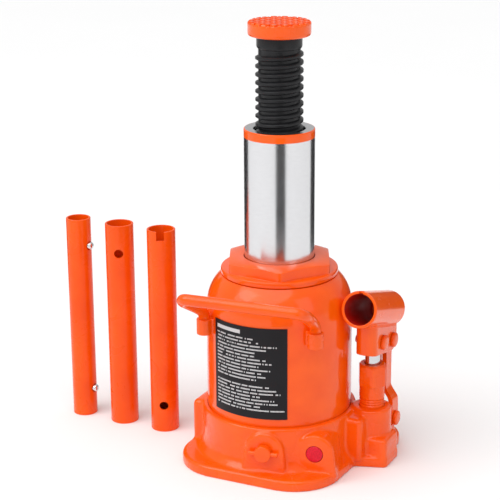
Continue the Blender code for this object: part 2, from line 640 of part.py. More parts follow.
def link_plates():
    """Two pressed strips: inside the cheeks above, and joggled outwards to pass outside the ear below."""
    top, bottom = CHEEK_GAP_HALF - GAP - LINK_THICK, EAR_HALF + GAP
    end_r, half_width = 6.4, 5.2
    low, high = LINK_BASE_PIN.z - end_r - 1.0, LINK_TOP_PIN.z + end_r + 1.0
    mid_low, mid_high = 40.0, 52.0
    for side, name in ((1, "link_plate_outer"), (-1, "link_plate_inner")):
        strip = [(side * (top + dx), z) for dx, z in
                 [(0, high), (0, mid_high), (bottom - top, mid_low), (bottom - top, low),
                  (bottom - top + LINK_THICK, low), (bottom - top + LINK_THICK, mid_low),
                  (LINK_THICK, mid_high), (LINK_THICK, high)]]
        plate = solid(name, slab_shape(strip, 30.0, "XZ"), ENAMEL, at=(PUMP.x, LINK_BASE_PIN.y, 0),
                      parent=LINK_FRAME)
        face = [*arc((0.0, LINK_BASE_PIN.z), end_r, 180, 360, 10), (half_width, 42.0), (half_width, 76.0),
                *arc((0.0, LINK_TOP_PIN.z), end_r, 0, 180, 10), (-half_width, 76.0), (-half_width, 42.0)]
        keep = solid(name + "_keep", slab_shape(face, 60.0, "YZ"), ENAMEL, at=(PUMP.x, LINK_BASE_PIN.y, 0),
                     cutter=True)
        boolean(plate, keep, "INTERSECT")
        across = Vector((40, 0, 0))
        for pin in (LINK_BASE_PIN, LINK_TOP_PIN):
            cut(plate, rod_shape(pin - across, pin + across, PIN_R + GAP))
    headed_pin("link_base_pin", LINK_BASE_PIN, PIN_R, bottom + LINK_THICK, LINK_FRAME)
    headed_pin("link_top_pin", LINK_TOP_PIN, PIN_R, CHEEK_HALF, LINK_FRAME)


def carry_handle():
    """A bent round bar whose ends turn down into two lugs welded to the tank."""
    bar_r, lug_r, web_half = 4.25, 5.8, 3.6
    lug_low, lug_high = 103.0, 115.0
    spread = radians(46.0)
    end = Vector((HANDLE_REACH * sin(spread), -HANDLE_REACH * cos(spread), 0))
    right = [(end.x, end.y, lug_low + 1.5), (end.x, end.y, lug_high + 1.0),
             (end.x + 0.2, end.y - 1.2, lug_high + 4.5), (end.x + 0.6, end.y - 5.0, lug_high + 7.5),
             (end.x + 3.3, end.y - 27.0, 135.5), (end.x + 2.4, end.y - 33.0, 139.0),
             (end.x - 1.8, end.y - 36.2, 141.0)]
    path = right + [(-x, y, z) for x, y, z in reversed(right)]
    facing = Matrix.Rotation(HANDLE_TURN, 3, "Z")
    curve = bpy.data.curves.new("carry_handle", "CURVE")
    curve.dimensions = "3D"
    curve.bevel_depth = bar_r * 0.001
    curve.bevel_resolution = 3
    curve.use_fill_caps = True
    spline = curve.splines.new("POLY")
    spline.points.add(len(path) - 1)
    for point, place in zip(spline.points, path):
        point.co = (*(facing @ mm(*place)), 1.0)
    curve.materials.append(ENAMEL)
    JACK.objects.link(bpy.data.objects.new("carry_handle", curve))
    for side, name in ((-1, "handle_lug_left"), (1, "handle_lug_right")):
        at = facing @ Vector((side * end.x, end.y, 0))
        foot, head = at + Vector((0, 0, lug_low)), at + Vector((0, 0, lug_high))
        lug = solid(name, rod_shape(foot, head, lug_r, MEDIUM), ENAMEL)
        web = box_shape((-web_half, -1.0, lug_low + 0.01), (web_half, 12.0, lug_high - 0.01))
        join(lug, web, at=at, turn=(0, 0, side * spread + HANDLE_TURN))
        drill(lug, at + Vector((0, 0, 90)), at + Vector((0, 0, 120)), bar_r + GAP, MEDIUM)
        body = [(0, 130.0), (TANK_R + GAP, 130.0), (TANK_R + GAP, 80.0), (0, 80.0)]
        boolean(lug, turned(name + "_seat", body, ENAMEL, 96, cutter=True), "DIFFERENCE")


def name_plate():
    """A thin printed plate bent round the tank."""
    low, high = 47.5, 117.5
    start, sweep = radians(-123.0), radians(64.0)
    inner, outer = TANK_R + GAP, TANK_R + GAP + 0.5
    bm = bmesh.new()
    section = [(inner, low), (outer, low), (outer, high), (inner, high)]
    face = bm.faces.new([bm.verts.new(mm(r * cos(start), r * sin(start), z)) for r, z in section])
    bmesh.ops.spin(bm, geom=[face], cent=(0, 0, 0), axis=(0, 0, 1), dvec=(0, 0, 0), angle=sweep, steps=20,
                   use_merge=False, use_duplicate=False)
    bmesh.ops.recalc_face_normals(bm, faces=bm.faces)
    solid("name_plate", bm, PLATE)


def filler_plug():
    """The rubber oil plug in the back of the tank."""
    z = 112.0
    drill(bpy.data.objects["reservoir_tank"], (0, 40, z), (0, 70, z), 5.6)
    turned(
        "filler_plug",
        [(0, 57.6), (5.8, 57.6), (7.6, 56.6), (7.6, 54.9), (5.2, 54.9), (5.2, 50.0), (4.4, 49.0), (0, 49.0)],
        RUBBER, SMALL, at=(0, 0, z), turn=(radians(-90), 0, 0),
    )


def handle_tube(name, index, radius, hole_heights, notch):
    """One of the three handle tubes, upright on the floor, with its cross holes facing TUBE_FACING."""
    at = Vector((FIRST_TUBE_X - TUBE_SPACING * index, 0, 0))
    frame = empty(name + "_lift", at)
    tube = ring(name, radius - TUBE_WALL, radius, 0.0, TUBE_LENGTH, ENAMEL, MEDIUM, at=at, parent=frame)
    out = Vector((cos(TUBE_FACING), sin(TUBE_FACING), 0))
    for height in hole_heights:
        drill(tube, at + Vector((0, 0, height)), at + 30 * out + Vector((0, 0, height)), 3.5)
    if notch:
        slot = box_shape((0, -3.0, TUBE_LENGTH - 7.0), (30.0, 3.0, TUBE_LENGTH + 10.0))
        cut(tube, slot, at=at, turn=(0, 0, TUBE_FACING))
    return frame, at


def pump_handle():
    """The three tubes: the end tube fits the valve pin, and the joint tube clicks the others together."""
    handle_tube("handle_end_tube", 0, TUBE_R, [BUTTON_INSET], True)
    handle_tube("handle_middle_tube", 1, TUBE_R, [TUBE_LENGTH - BUTTON_INSET], False)
    spring_buttons(*handle_tube("handle_joint_tube", 2, JOINT_TUBE_R, [], False))


def spring_buttons(frame, at):
    """The two catches of the joint tube, facing +X: a domed steel button on a bent leaf spring."""
    out = Vector((1, 0, 0))
    tube = bpy.data.objects["handle_joint_tube"]
    for name, height in (("lower", BUTTON_INSET), ("upper", TUBE_LENGTH - BUTTON_INSET)):
        place = at + Vector((0, 0, height))
        drill(tube, place, place + 30 * out, 3.4, SMALL)
        catch = empty("button_" + name, place, frame)
        profile = [(0, 12.6), (1.6, 12.2), (2.6, 11.2), (3.0, 10.0), (3.0, 6.2), (4.6, 6.2), (4.6, 5.0),
                   (0, 5.0)]
        turned("spring_button_" + name, profile, STEEL, SMALL, at=place, turn=(0, radians(90), 0),
               parent=catch)
        inward = 1 if name == "lower" else -1
        leaf = [(4.7, -5.0), (4.7, 5.0), (-3.6, 27.0), (-4.4, 27.0), (3.9, 4.6), (3.9, -5.0)]
        leaf = [(x, inward * z) for x, z in leaf]
        solid("button_spring_" + name, slab_shape(leaf, 4.8, "XZ"), STEEL, at=place, parent=catch)


base_casting()
tank()
filler_plug()
pressure_cylinder()
top_nut()
extension_screw(ram())
hand_pump()
pump_valves()
release_valve()
safety_valve()
LINK_FRAME = empty("link_swing", LINK_BASE_PIN)
link_plates()
handle_socket()
carry_handle()
name_plate()
pump_handle()
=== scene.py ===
from math import asin, atan2, cos, pi, radians, sin

import bmesh
import bpy
from mathutils import Matrix, Vector


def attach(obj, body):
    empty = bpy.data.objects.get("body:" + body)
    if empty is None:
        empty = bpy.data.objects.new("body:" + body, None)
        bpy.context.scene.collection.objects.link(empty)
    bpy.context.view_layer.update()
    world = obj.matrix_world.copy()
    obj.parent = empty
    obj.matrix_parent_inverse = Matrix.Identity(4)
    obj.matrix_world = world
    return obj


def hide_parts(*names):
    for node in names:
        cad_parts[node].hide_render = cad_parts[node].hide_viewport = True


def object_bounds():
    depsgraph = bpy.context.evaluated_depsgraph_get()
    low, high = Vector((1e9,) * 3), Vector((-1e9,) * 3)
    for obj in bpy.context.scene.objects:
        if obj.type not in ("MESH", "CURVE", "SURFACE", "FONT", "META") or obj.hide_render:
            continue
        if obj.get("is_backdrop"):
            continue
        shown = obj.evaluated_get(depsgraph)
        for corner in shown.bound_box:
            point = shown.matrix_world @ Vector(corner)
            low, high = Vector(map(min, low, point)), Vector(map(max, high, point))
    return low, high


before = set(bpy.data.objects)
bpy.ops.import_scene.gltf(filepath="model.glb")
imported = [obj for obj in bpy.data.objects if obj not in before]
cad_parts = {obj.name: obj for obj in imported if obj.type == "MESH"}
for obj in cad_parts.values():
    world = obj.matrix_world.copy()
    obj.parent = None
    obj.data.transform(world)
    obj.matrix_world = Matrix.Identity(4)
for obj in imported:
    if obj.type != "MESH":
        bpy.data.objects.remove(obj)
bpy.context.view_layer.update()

# ---------------------------------------------------------------------------------------------------
# Base casting: the foot plate, the rim that holds the tank, the pump's block and boss, two valve bosses
# and the ear of the link are one sand casting. It is fettled, drilled, and sprayed with thick enamel.
# Shapes are built in millimetres and become metres when a piece is finished.

MM = 0.001
PUMP_X, PUMP_Y = 68.6, 17.5
LINK_Y, LINK_BASE_Z, LINK_TOP_Z = 37.5, 25.8, 88.8
RIM_TOP, BOSS_TOP, PLATE_TOP, TANK_FLOOR = 41.0, 42.3, 8.0, 34.0
TANK_R, CYLINDER_SEAT_R, EAR_HALF = 54.5, 36.3, 7.6
RELEASE, SAFETY = Vector((14.8, -59.0, 24.0)), Vector((48.4, -43.7, 22.5))
VALVE_TURN = radians(12.0)
VALVE_OUT = Vector((sin(VALVE_TURN), -cos(VALVE_TURN), 0.0))
VALVE_HALF, VALVE_ARCH_R = 16.6, 14.6
HEX_TURN = radians(-5.0)
CAST_GRAIN, CAST_SMOOTHING = 0.8, 6
FINE = 160  # steps round the widest turned shapes


def arc(x, y, radius, start, end, steps):
    """Points on an arc, from one angle to the other, in degrees."""
    angles = [radians(start + (end - start) * i / steps) for i in range(steps + 1)]
    return [(x + radius * cos(a), y + radius * sin(a)) for a in angles]


def slab(outline, low, high, axis):
    """A closed outline, square to the axis, made thick from one height on it to the other."""
    spin = {"X": lambda a, b: (low, a, b), "Y": lambda a, b: (a, low, b), "Z": lambda a, b: (a, b, low)}
    bm = bmesh.new()
    face = bm.faces.new([bm.verts.new(spin[axis](*point)) for point in outline])
    grown = bmesh.ops.extrude_face_region(bm, geom=[face])["geom"]
    across = [high - low if letter == axis else 0.0 for letter in "XYZ"]
    bmesh.ops.translate(bm, verts=[v for v in grown if isinstance(v, bmesh.types.BMVert)], vec=across)
    bmesh.ops.recalc_face_normals(bm, faces=bm.faces)
    return bm


def soften(bm, offset, segments=3, chosen=lambda edge: edge.calc_face_angle(0.0) > 0.6):
    """Rounds the chosen edges; by default all those that turn sharply."""
    bmesh.ops.bevel(
        bm, geom=[edge for edge in bm.edges if chosen(edge)], offset=offset, segments=segments,
        affect="EDGES", profile=0.5, material=-1, clamp_overlap=True,
    )
    return bm


def block(low, high, rounding):
    low, high = Vector(low), Vector(high)
    bm = bmesh.new()
    size = Matrix.Diagonal((*(high - low), 1.0))
    bmesh.ops.create_cube(bm, size=1.0, matrix=Matrix.Translation((low + high) / 2) @ size)
    return soften(bm, rounding) if rounding else bm


def rod(start, end, radius, steps=64):
    """A round bar between two points."""
    start, end = Vector(start), Vector(end)
    turn = Vector((0, 0, 1)).rotation_difference(end - start).to_matrix().to_4x4()
    bm = bmesh.new()
    bmesh.ops.create_cone(
        bm, cap_ends=True, segments=steps, radius1=radius, radius2=radius, depth=(end - start).length,
        matrix=Matrix.Translation((start + end) / 2) @ turn,
    )
    return bm


def bead(at, radius):
    """One ripple of a weld."""
    bm = bmesh.new()
    bmesh.ops.create_uvsphere(bm, u_segments=16, v_segments=10, radius=radius)
    return placed(bm, at)


def turned(profile, steps=96, closed=False):
    """A lathe shape round Z, from (radius, height) points. A third number rounds that corner."""
    bm = bmesh.new()
    corners = [bm.verts.new((point[0], 0, point[1])) for point in profile]
    following = corners[1:] + corners[:1] if closed else corners[1:]
    for first, second in zip(corners, following):
        bm.edges.new((first, second))
    for corner, point in zip(corners, profile):
        if len(point) == 3:
            bmesh.ops.bevel(bm, geom=[corner], offset=point[2], segments=5, affect="VERTICES", profile=0.5,
                            material=-1)
    bmesh.ops.spin(bm, geom=bm.verts[:] + bm.edges[:], cent=(0, 0, 0), axis=(0, 0, 1), angle=2 * pi,
                   steps=steps, use_merge=True, use_duplicate=False)
    bmesh.ops.remove_doubles(bm, verts=bm.verts, dist=0.0005)
    bmesh.ops.recalc_face_normals(bm, faces=bm.faces)
    return bm


def placed(bm, at=(0, 0, 0), turn=Matrix.Identity(4)):
    bmesh.ops.transform(bm, matrix=Matrix.Translation(at) @ turn, verts=bm.verts)
    return bm


def meshed(name, bm):
    mesh = bpy.data.meshes.new(name)
    bm.to_mesh(mesh)
    bm.free()
    return mesh


def shown(name, data):
    """An object with this data, in the scene."""
    made = bpy.data.objects.new(name, data)
    bpy.context.scene.collection.objects.link(made)
    return made


def gathered(*shapes):
    """Several shapes as one mesh, their shells still apart."""
    whole = bmesh.new()
    for shape in shapes:
        mesh = meshed("shell", shape)
        whole.from_mesh(mesh)
        bpy.data.meshes.remove(mesh)
    return whole


def modified(bm, kind, *tools, **settings):
    """The shape after one modifier, applied."""
    made = [shown("blank", meshed("blank", shape)) for shape in (bm, *tools)]
    modifier = made[0].modifiers.new("shaping", kind)
    for name, value in settings.items():
        setattr(modifier, name, value)
    if tools:
        modifier.object = made[1]
    result = bmesh.new()
    bpy.context.view_layer.update()
    result.from_object(made[0], bpy.context.evaluated_depsgraph_get())
    for blank in made:
        mesh = blank.data
        bpy.data.objects.remove(blank)
        bpy.data.meshes.remove(mesh)
    return result


def cut(bm, *tools):
    for tool in tools:
        bm = modified(bm, "BOOLEAN", tool, operation="DIFFERENCE", solver="EXACT")
    return bm


def merged(bm, *others):
    for other in others:
        bm = modified(bm, "BOOLEAN", other, operation="UNION", solver="EXACT")
    return bm


def cast(bm, grain, smoothing):
    """Runs overlapping shells into one skin with soft edges and filleted corners."""
    bm = modified(bm, "REMESH", mode="VOXEL", voxel_size=grain)
    for _ in range(smoothing):
        bmesh.ops.smooth_vert(bm, verts=bm.verts, factor=0.5, use_axis_x=True, use_axis_y=True,
                              use_axis_z=True)
    return bm


def finished(name, bm, finishes, body, nodes=(), sharp=38.0):
    """The shape as a piece of the jack, in metres, riding on its body in place of its CAD nodes."""
    bmesh.ops.scale(bm, vec=(MM, MM, MM), verts=bm.verts)
    mesh = meshed(name, bm)
    mesh.shade_smooth()
    mesh.set_sharp_from_angle(angle=radians(sharp))
    for finish in finishes if isinstance(finishes, tuple) else (finishes,):
        mesh.materials.append(finish)
    piece = shown(name + "_piece", mesh)
    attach(piece, body)
    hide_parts(*(nodes or (name,)))
    return piece


def blank_material(name, roughness, metallic=0.0, **fixed):
    """A material with its shader, and the Object coordinates that its patterns read."""
    made = bpy.data.materials.new(name)
    made.use_nodes = True
    tree = made.node_tree
    shader = tree.nodes["Principled BSDF"]
    shader.inputs["Roughness"].default_value = roughness
    shader.inputs["Metallic"].default_value = metallic
    for socket, value in fixed.items():
        shader.inputs[socket.replace("_", " ")].default_value = value
    return made, tree, shader, tree.nodes.new("ShaderNodeTexCoord").outputs["Object"]


def noise(tree, vector, scale, detail=2.0, stretch=None):
    node = tree.nodes.new("ShaderNodeTexNoise")
    node.inputs["Scale"].default_value = scale
    node.inputs["Detail"].default_value = detail
    if stretch:
        mapping = tree.nodes.new("ShaderNodeMapping")
        mapping.inputs["Scale"].default_value = stretch
        tree.links.new(vector, mapping.inputs["Vector"])
        vector = mapping.outputs["Vector"]
    tree.links.new(vector, node.inputs["Vector"])
    return node.outputs["Fac"]


def levels(tree, value, low, high, out_low, out_high):
    """A value's range stretched or squeezed to another, clamped."""
    node = tree.nodes.new("ShaderNodeMapRange")
    for socket, number in zip(("From Min", "From Max", "To Min", "To Max"), (low, high, out_low, out_high)):
        node.inputs[socket].default_value = number
    tree.links.new(value, node.inputs["Value"])
    return node.outputs["Result"]


def mixed(tree, factor, first, second):
    node = tree.nodes.new("ShaderNodeMix")
    node.data_type = "RGBA"
    for socket, colour in (("A", first), ("B", second)):
        entry = [s for s in node.inputs if s.name == socket and s.type == "RGBA"][0]
        if isinstance(colour, tuple):
            entry.default_value = (*colour, 1.0)
        else:
            tree.links.new(colour, entry)
    tree.links.new(factor, node.inputs[0])
    return [s for s in node.outputs if s.type == "RGBA"][0]


def bumped(tree, shader, *layers):
    """Height layers over each other: (height, depth in metres)."""
    normal = None
    for height, depth in layers:
        node = tree.nodes.new("ShaderNodeBump")
        node.inputs["Strength"].default_value = 1.0
        node.inputs["Distance"].default_value = depth
        tree.links.new(height, node.inputs["Height"])
        if normal:
            tree.links.new(normal, node.inputs["Normal"])
        normal = node.outputs["Normal"]
    tree.links.new(normal, shader.inputs["Normal"])


def sprayed_coat():
    """Sprayed paint over a surface: a cloudy shade, the peel's height, and smudges in its gloss."""
    group = bpy.data.node_groups.new("sprayed_coat", "ShaderNodeTree")
    group.interface.new_socket(name="Vector", in_out="INPUT", socket_type="NodeSocketVector")
    for name, value in (("Peel Scale", 700.0), ("Cloud Scale", 40.0)):
        socket = group.interface.new_socket(name=name, in_out="INPUT", socket_type="NodeSocketFloat")
        socket.default_value = value
    for name in ("Cloud", "Peel", "Smudge"):
        group.interface.new_socket(name=name, in_out="OUTPUT", socket_type="NodeSocketFloat")
    start, end = group.nodes.new("NodeGroupInput"), group.nodes.new("NodeGroupOutput")
    for name, scale, detail in (("Cloud", "Cloud Scale", 3.0), ("Peel", "Peel Scale", 1.0),
                                ("Smudge", "Cloud Scale", 5.0)):
        field = noise(group, start.outputs["Vector"], 1.0, detail)
        node = field.node
        group.links.new(start.outputs[scale], node.inputs["Scale"])
        if name == "Smudge":
            node.inputs["Distortion"].default_value = 1.5
        out = levels(group, field, 0.32, 0.68, 0.0, 1.0) if name != "Peel" else field
        group.links.new(out, end.inputs[name])
    return group


COAT = sprayed_coat()


def enamel(name, light, deep, roughness=(0.2, 0.3), peel=0.00003, lump=0.0, lump_scale=160.0, peel_scale=650.0,
           coat=0.45):
    """Glossy sprayed enamel. Lump is the depth of the uneven metal that shows through the paint."""
    made, tree, shader, where = blank_material(name, 0.3, Coat_Weight=coat, Coat_Roughness=0.06,
                                               Specular_IOR_Level=0.18)
    group = tree.nodes.new("ShaderNodeGroup")
    group.node_tree = COAT
    group.inputs["Peel Scale"].default_value = peel_scale
    group.inputs["Cloud Scale"].default_value = 45.0
    tree.links.new(where, group.inputs["Vector"])
    tree.links.new(mixed(tree, group.outputs["Cloud"], light, deep), shader.inputs["Base Color"])
    tree.links.new(levels(tree, group.outputs["Smudge"], 0.0, 1.0, *roughness), shader.inputs["Roughness"])
    layers = [(group.outputs["Peel"], peel)]
    if lump:
        layers.insert(0, (noise(tree, where, lump_scale, 3.0), lump))
    bumped(tree, shader, *layers)
    return made


ORANGE, DEEP_ORANGE = (0.97, 0.112, 0.002), (0.9, 0.088, 0.001)
cast_enamel = enamel("cast_enamel", ORANGE, DEEP_ORANGE, lump=0.00055, lump_scale=120.0)

foot = slab(
    [*arc(-26.0, -32.2, 36.0, 180, 270, 32), *arc(26.5, -31.2, 37.0, 270, 360, 32), (64.5, -6.0),
     *arc(83.5, 4.0, 4.0, 270, 360, 8), *arc(83.5, 24.0, 4.0, 0, 60, 6), (80.5, 34.0),
     *arc(54.5, 42.2, 26.0, 0, 90, 24), *arc(-26.0, 32.2, 36.0, 90, 180, 32)],
    0.0, PLATE_TOP, "Z",
)
soften(foot, 2.2, 4, lambda edge: all(v.co.z > PLATE_TOP - 0.01 for v in edge.verts))


def valve_boss(face, depth):
    """An arched boss that splays towards the plate, with its front arris rounded."""
    outline = [(-VALVE_HALF, 4.0), (VALVE_HALF, 4.0), *arc(0.0, face.z, VALVE_ARCH_R, 4, 176, 40)]
    shape = slab(outline, 0.0, depth, "Y")
    soften(shape, 1.8, 4, lambda edge: all(v.co.y < 0.01 for v in edge.verts))
    return placed(shape, (face.x, face.y, 0), Matrix.Rotation(VALVE_TURN, 4, "Z"))


ear = slab(
    [(PUMP_Y + 9.0, 4.0), (LINK_Y + 11.5, 4.0), *arc(LINK_Y, LINK_BASE_Z, 9.5, 0, 160, 24),
     (PUMP_Y + 9.0, 30.0)],
    PUMP_X - EAR_HALF, PUMP_X + EAR_HALF, "X",
)
collar = turned([(0, RIM_TOP), (58.3, RIM_TOP, 1.4), (58.3, 17.0, 2.0), (59.4, 12.6, 2.0), (62.8, 8.6),
                 (63.4, 5.0), (0, 5.0)], FINE)
boss = turned([(0, BOSS_TOP), (15.0, BOSS_TOP, 1.4), (15.0, 7.0), (0, 7.0)])
base = cast(
    gathered(
        foot, collar, ear, valve_boss(RELEASE, 18.0), valve_boss(SAFETY, 24.0),
        placed(boss, (PUMP_X, PUMP_Y, 0)),
        block((-61.0, -27.0, 5.0), (-40.0, 27.0, RIM_TOP - 0.8), 3.5),
        block((44.0, -8.0, 4.5), (PUMP_X + 2.0, PUMP_Y + 12.0, RIM_TOP - 2.5), 3.0),
        block((52.0, 0.6, 3.5), (86.9, 27.4, 22.0), 3.0),
    ),
    CAST_GRAIN, CAST_SMOOTHING,
)
pump_foot = Vector((PUMP_X, PUMP_Y, 0))
up = Vector((0, 0, 1))
tank_seat = turned([(0, 60.0), (TANK_R + 0.3, 60.0), (TANK_R + 0.3, TANK_FLOOR), (CYLINDER_SEAT_R, TANK_FLOOR),
                    (CYLINDER_SEAT_R, 15.0), (0, 15.0)], FINE)
base = cut(
    base,
    gathered(
        tank_seat,
        rod(pump_foot + 60 * up, pump_foot + 18.8 * up, 9.8),
        rod(RELEASE + 20 * VALVE_OUT, RELEASE - 12 * VALVE_OUT, 5.5),
        rod(SAFETY + 20 * VALVE_OUT, SAFETY - 20 * VALVE_OUT, 6.5),
        rod((PUMP_X - 14, LINK_Y, LINK_BASE_Z), (PUMP_X + 14, LINK_Y, LINK_BASE_Z), 4.3),
    ),
    gathered(rod(pump_foot + 19.5 * up, pump_foot + 7 * up, 3.4, 32), rod((34, 30, 35), (34, 30, 12), 3.4, 32)),
    gathered(rod((PUMP_X, PUMP_Y, 16), (25, PUMP_Y, 16), 3.4, 32),
             rod(RELEASE - 11 * VALVE_OUT, RELEASE - 30 * VALVE_OUT, 2.2, 32)),
)
finished("base_casting", base, cast_enamel, "jack_body", sharp=50.0)

# ---------------------------------------------------------------------------------------------------
# Oil tank: a deep-drawn steel shell with a rounded shoulder. The top nut pulls it down on its seal in
# the casting's rim. Its enamel is smooth, with a fine peel.

SHOULDER, TANK_TOP, NECK_R, TANK_WALL = 117.3, 143.3, 43.5, 3.0
BEND_R, BEND_HEIGHT = 32.5, 30.0
SHELL_FOOT, SHELL_MOUTH_R, FILLER_Z = 36.3, 38.5, 112.0
sheet_enamel = enamel("sheet_enamel", ORANGE, DEEP_ORANGE, roughness=(0.16, 0.26), peel=0.000018,
                      peel_scale=420.0)


def shoulder(shell, first, last):
    """The rounded shoulder, `shell` inside the tank's outer face, from one angle to the other."""
    wide, tall = TANK_R - BEND_R - shell, BEND_HEIGHT - shell
    return [(BEND_R + wide * x, SHOULDER + tall * z) for x, z in arc(0, 0, 1.0, first, last, 20)]


shell = turned(
    [(SHELL_MOUTH_R, TANK_TOP), *shoulder(0.0, 60, 0), (TANK_R, SHELL_FOOT, 0.5),
     (TANK_R - TANK_WALL, SHELL_FOOT, 0.5), *shoulder(TANK_WALL, 0, 54), (SHELL_MOUTH_R, TANK_TOP - 4.0)],
    FINE, closed=True,
)
filler_bore = rod((0, 40, FILLER_Z), (0, 70, FILLER_Z), 5.6)
finished("tank_shell", cut(shell, filler_bore), sheet_enamel, "jack_body", ("reservoir_tank",))

# ---------------------------------------------------------------------------------------------------
# Top nut: a hexagon with turned chamfers on a round flange, screwed down over the ram's guide bush.
# It is machined from forged steel and painted with the rest.

NUT_TOP, FLANGE_TOP, ACROSS_FLATS, RAM_R = 156.6, 148.2, 73.6, 26.0
CHAMFER_R, CHAMFER_SLOPE = 35.0, 0.25


def hexed(bm, across, corner_r, top, flat_r, slope, blunt):
    """Presses the walls turned at corner_r into a blunt hexagon, their top edge down the chamfer."""
    for vert in bm.verts:
        if abs(vert.co.xy.length - corner_r) < 0.002:
            angle = atan2(vert.co.y, vert.co.x) % (pi / 3) - pi / 6
            wall = min(across / 2 / cos(angle), corner_r - blunt)
            vert.co.xy *= wall / vert.co.xy.length
            if vert.co.z > top - 0.01:
                vert.co.z = top - max(0.0, wall - flat_r) * slope
    return bm


nut_corner = ACROSS_FLATS / 2 / cos(pi / 6)
nut = turned(
    [(RAM_R + 0.3, NUT_TOP, 0.7), (CHAMFER_R, NUT_TOP), (nut_corner, NUT_TOP), (nut_corner, FLANGE_TOP),
     (NECK_R, FLANGE_TOP, 1.3), (NECK_R, TANK_TOP + 0.3, 1.3), (38.2, TANK_TOP + 0.3), (38.2, 133.0),
     (36.3, 133.0), (36.3, 136.8), (RAM_R + 3.0, 136.8), (RAM_R + 3.0, 149.2), (RAM_R + 0.6, 149.2),
     (RAM_R + 0.6, 150.6), (RAM_R + 4.0, 150.6), (RAM_R + 4.0, 155.0), (RAM_R + 0.3, 155.0)],
    192, closed=True,
)
hexed(nut, ACROSS_FLATS, nut_corner, NUT_TOP, CHAMFER_R, CHAMFER_SLOPE, 0.8)
soften(nut, 0.45, 3, lambda edge: edge.calc_face_angle(0.0) > 0.35 and edge.verts[0].co.xy.length > 36.0
       and edge.verts[0].co.z > FLANGE_TOP - 0.2)
finished("top_nut", placed(nut, turn=Matrix.Rotation(HEX_TURN, 4, "Z")), sheet_enamel, "jack_body")

# ---------------------------------------------------------------------------------------------------
# Ram: a hard-chromed, ground steel tube, open at the top for the extension screw. A band of enamel is
# left at its top edge, and its end face is machined bright.

RAM_TOP, RAM_FOOT, RAM_BORE_R, BAND = 252.5, 136.0, 19.0, 6.2


def steel(name, colour, roughness, grain_depth, stretch, scale=260.0, metallic=1.0):
    """Machined steel: fine tool marks stretched round or along the piece, and a cloudy polish."""
    made, tree, shader, where = blank_material(name, 0.2, metallic)
    marks = noise(tree, where, scale, 4.0, stretch)
    cloud = noise(tree, where, 22.0, 3.0)
    dull = tuple(0.9 * c for c in colour)
    marked = mixed(tree, levels(tree, marks, 0.35, 0.7, 0.0, 1.0), colour, dull)
    tree.links.new(marked, shader.inputs["Base Color"])
    tree.links.new(levels(tree, cloud, 0.3, 0.7, *roughness), shader.inputs["Roughness"])
    bumped(tree, shader, (marks, grain_depth))
    return made


ram_chrome = steel("ram_chrome", (0.74, 0.74, 0.755), (0.17, 0.22), 0.0000012, (1.0, 1.0, 14.0))
turned_steel = steel("turned_steel", (0.72, 0.72, 0.73), (0.18, 0.28), 0.000006, (1.0, 1.0, 6.0))

ram = turned(
    [(0, 152.0), (RAM_BORE_R, 152.0), (RAM_BORE_R, RAM_TOP, 0.8), (RAM_R, RAM_TOP, 0.9),
     (RAM_R, RAM_TOP - BAND), (RAM_R - 0.06, RAM_TOP - BAND - 0.06), (RAM_R - 0.06, RAM_FOOT),
     (15.0, RAM_FOOT), (15.0, 112.0), (0, 112.0)],
    FINE,
)
for face in ram.faces:
    spot = face.calc_center_median()
    if spot.z > RAM_TOP - BAND and spot.xy.length > RAM_R - 1.0:
        face.material_index = 1
    elif spot.z > RAM_TOP - 1.5 or spot.xy.length < RAM_BORE_R + 0.5:
        face.material_index = 2
finished("ram", ram, (ram_chrome, sheet_enamel, turned_steel), "ram", sharp=30.0)

# ---------------------------------------------------------------------------------------------------
# Extension screw: a coarse right-hand thread with flat crests, wound up out of the ram by hand. It is
# turned from bar and phosphated black. Its stop ring runs inside the ram.

SCREW_TOP, COLLAR_FOOT, ROOT_R, CREST_R, PITCH = 319.0, 311.0, 15.2, 17.4, 6.0
THREAD_FOOT, THREAD_TOP = 234.0, 308.6
STEPS_PER_TURN = 60

phosphate, tree, shader, where = blank_material("black_phosphate", 0.4, 0.2, Specular_IOR_Level=0.3)
grain = noise(tree, where, 1400.0, 3.0)
tree.links.new(mixed(tree, grain, (0.008, 0.008, 0.009), (0.02, 0.02, 0.022)), shader.inputs["Base Color"])
tree.links.new(levels(tree, noise(tree, where, 90.0, 4.0), 0.3, 0.7, 0.27, 0.42), shader.inputs["Roughness"])
bumped(tree, shader, (grain, 0.00002))

core = turned(
    [(0, SCREW_TOP + 5.5), (8.0, SCREW_TOP + 5.5), (8.0, SCREW_TOP), (16.5, SCREW_TOP, 0.6),
     (16.5, COLLAR_FOOT, 1.6), (ROOT_R + 0.3, COLLAR_FOOT - 0.6), (ROOT_R, COLLAR_FOOT - 1.6),
     (ROOT_R, 229.5, 1.0), (10.0, 229.5), (10.0, 225.6), (12.5, 225.6), (12.5, 223.0), (0, 223.0)],
    120,
)
ridge = bmesh.new()
half_crest, half_foot, buried = 1.0, 2.2, ROOT_R - 0.8
section = [(buried, -half_foot), (ROOT_R + 0.3, -half_foot + 0.25), (CREST_R - 0.25, -half_crest),
           (CREST_R, -half_crest + 0.3), (CREST_R, half_crest - 0.3), (CREST_R - 0.25, half_crest),
           (ROOT_R + 0.3, half_foot - 0.25), (buried, half_foot)]
face = ridge.faces.new([ridge.verts.new((r, 0, THREAD_FOOT + z)) for r, z in section])
turns = (THREAD_TOP - THREAD_FOOT) / PITCH
steps = int(turns * STEPS_PER_TURN)
bmesh.ops.spin(ridge, geom=[face], cent=(0, 0, 0), axis=(0, 0, 1), angle=2 * pi * turns, steps=steps,
               dvec=(0, 0, (THREAD_TOP - THREAD_FOOT) / steps), use_merge=False, use_duplicate=False)
bmesh.ops.remove_doubles(ridge, verts=ridge.verts, dist=0.0005)
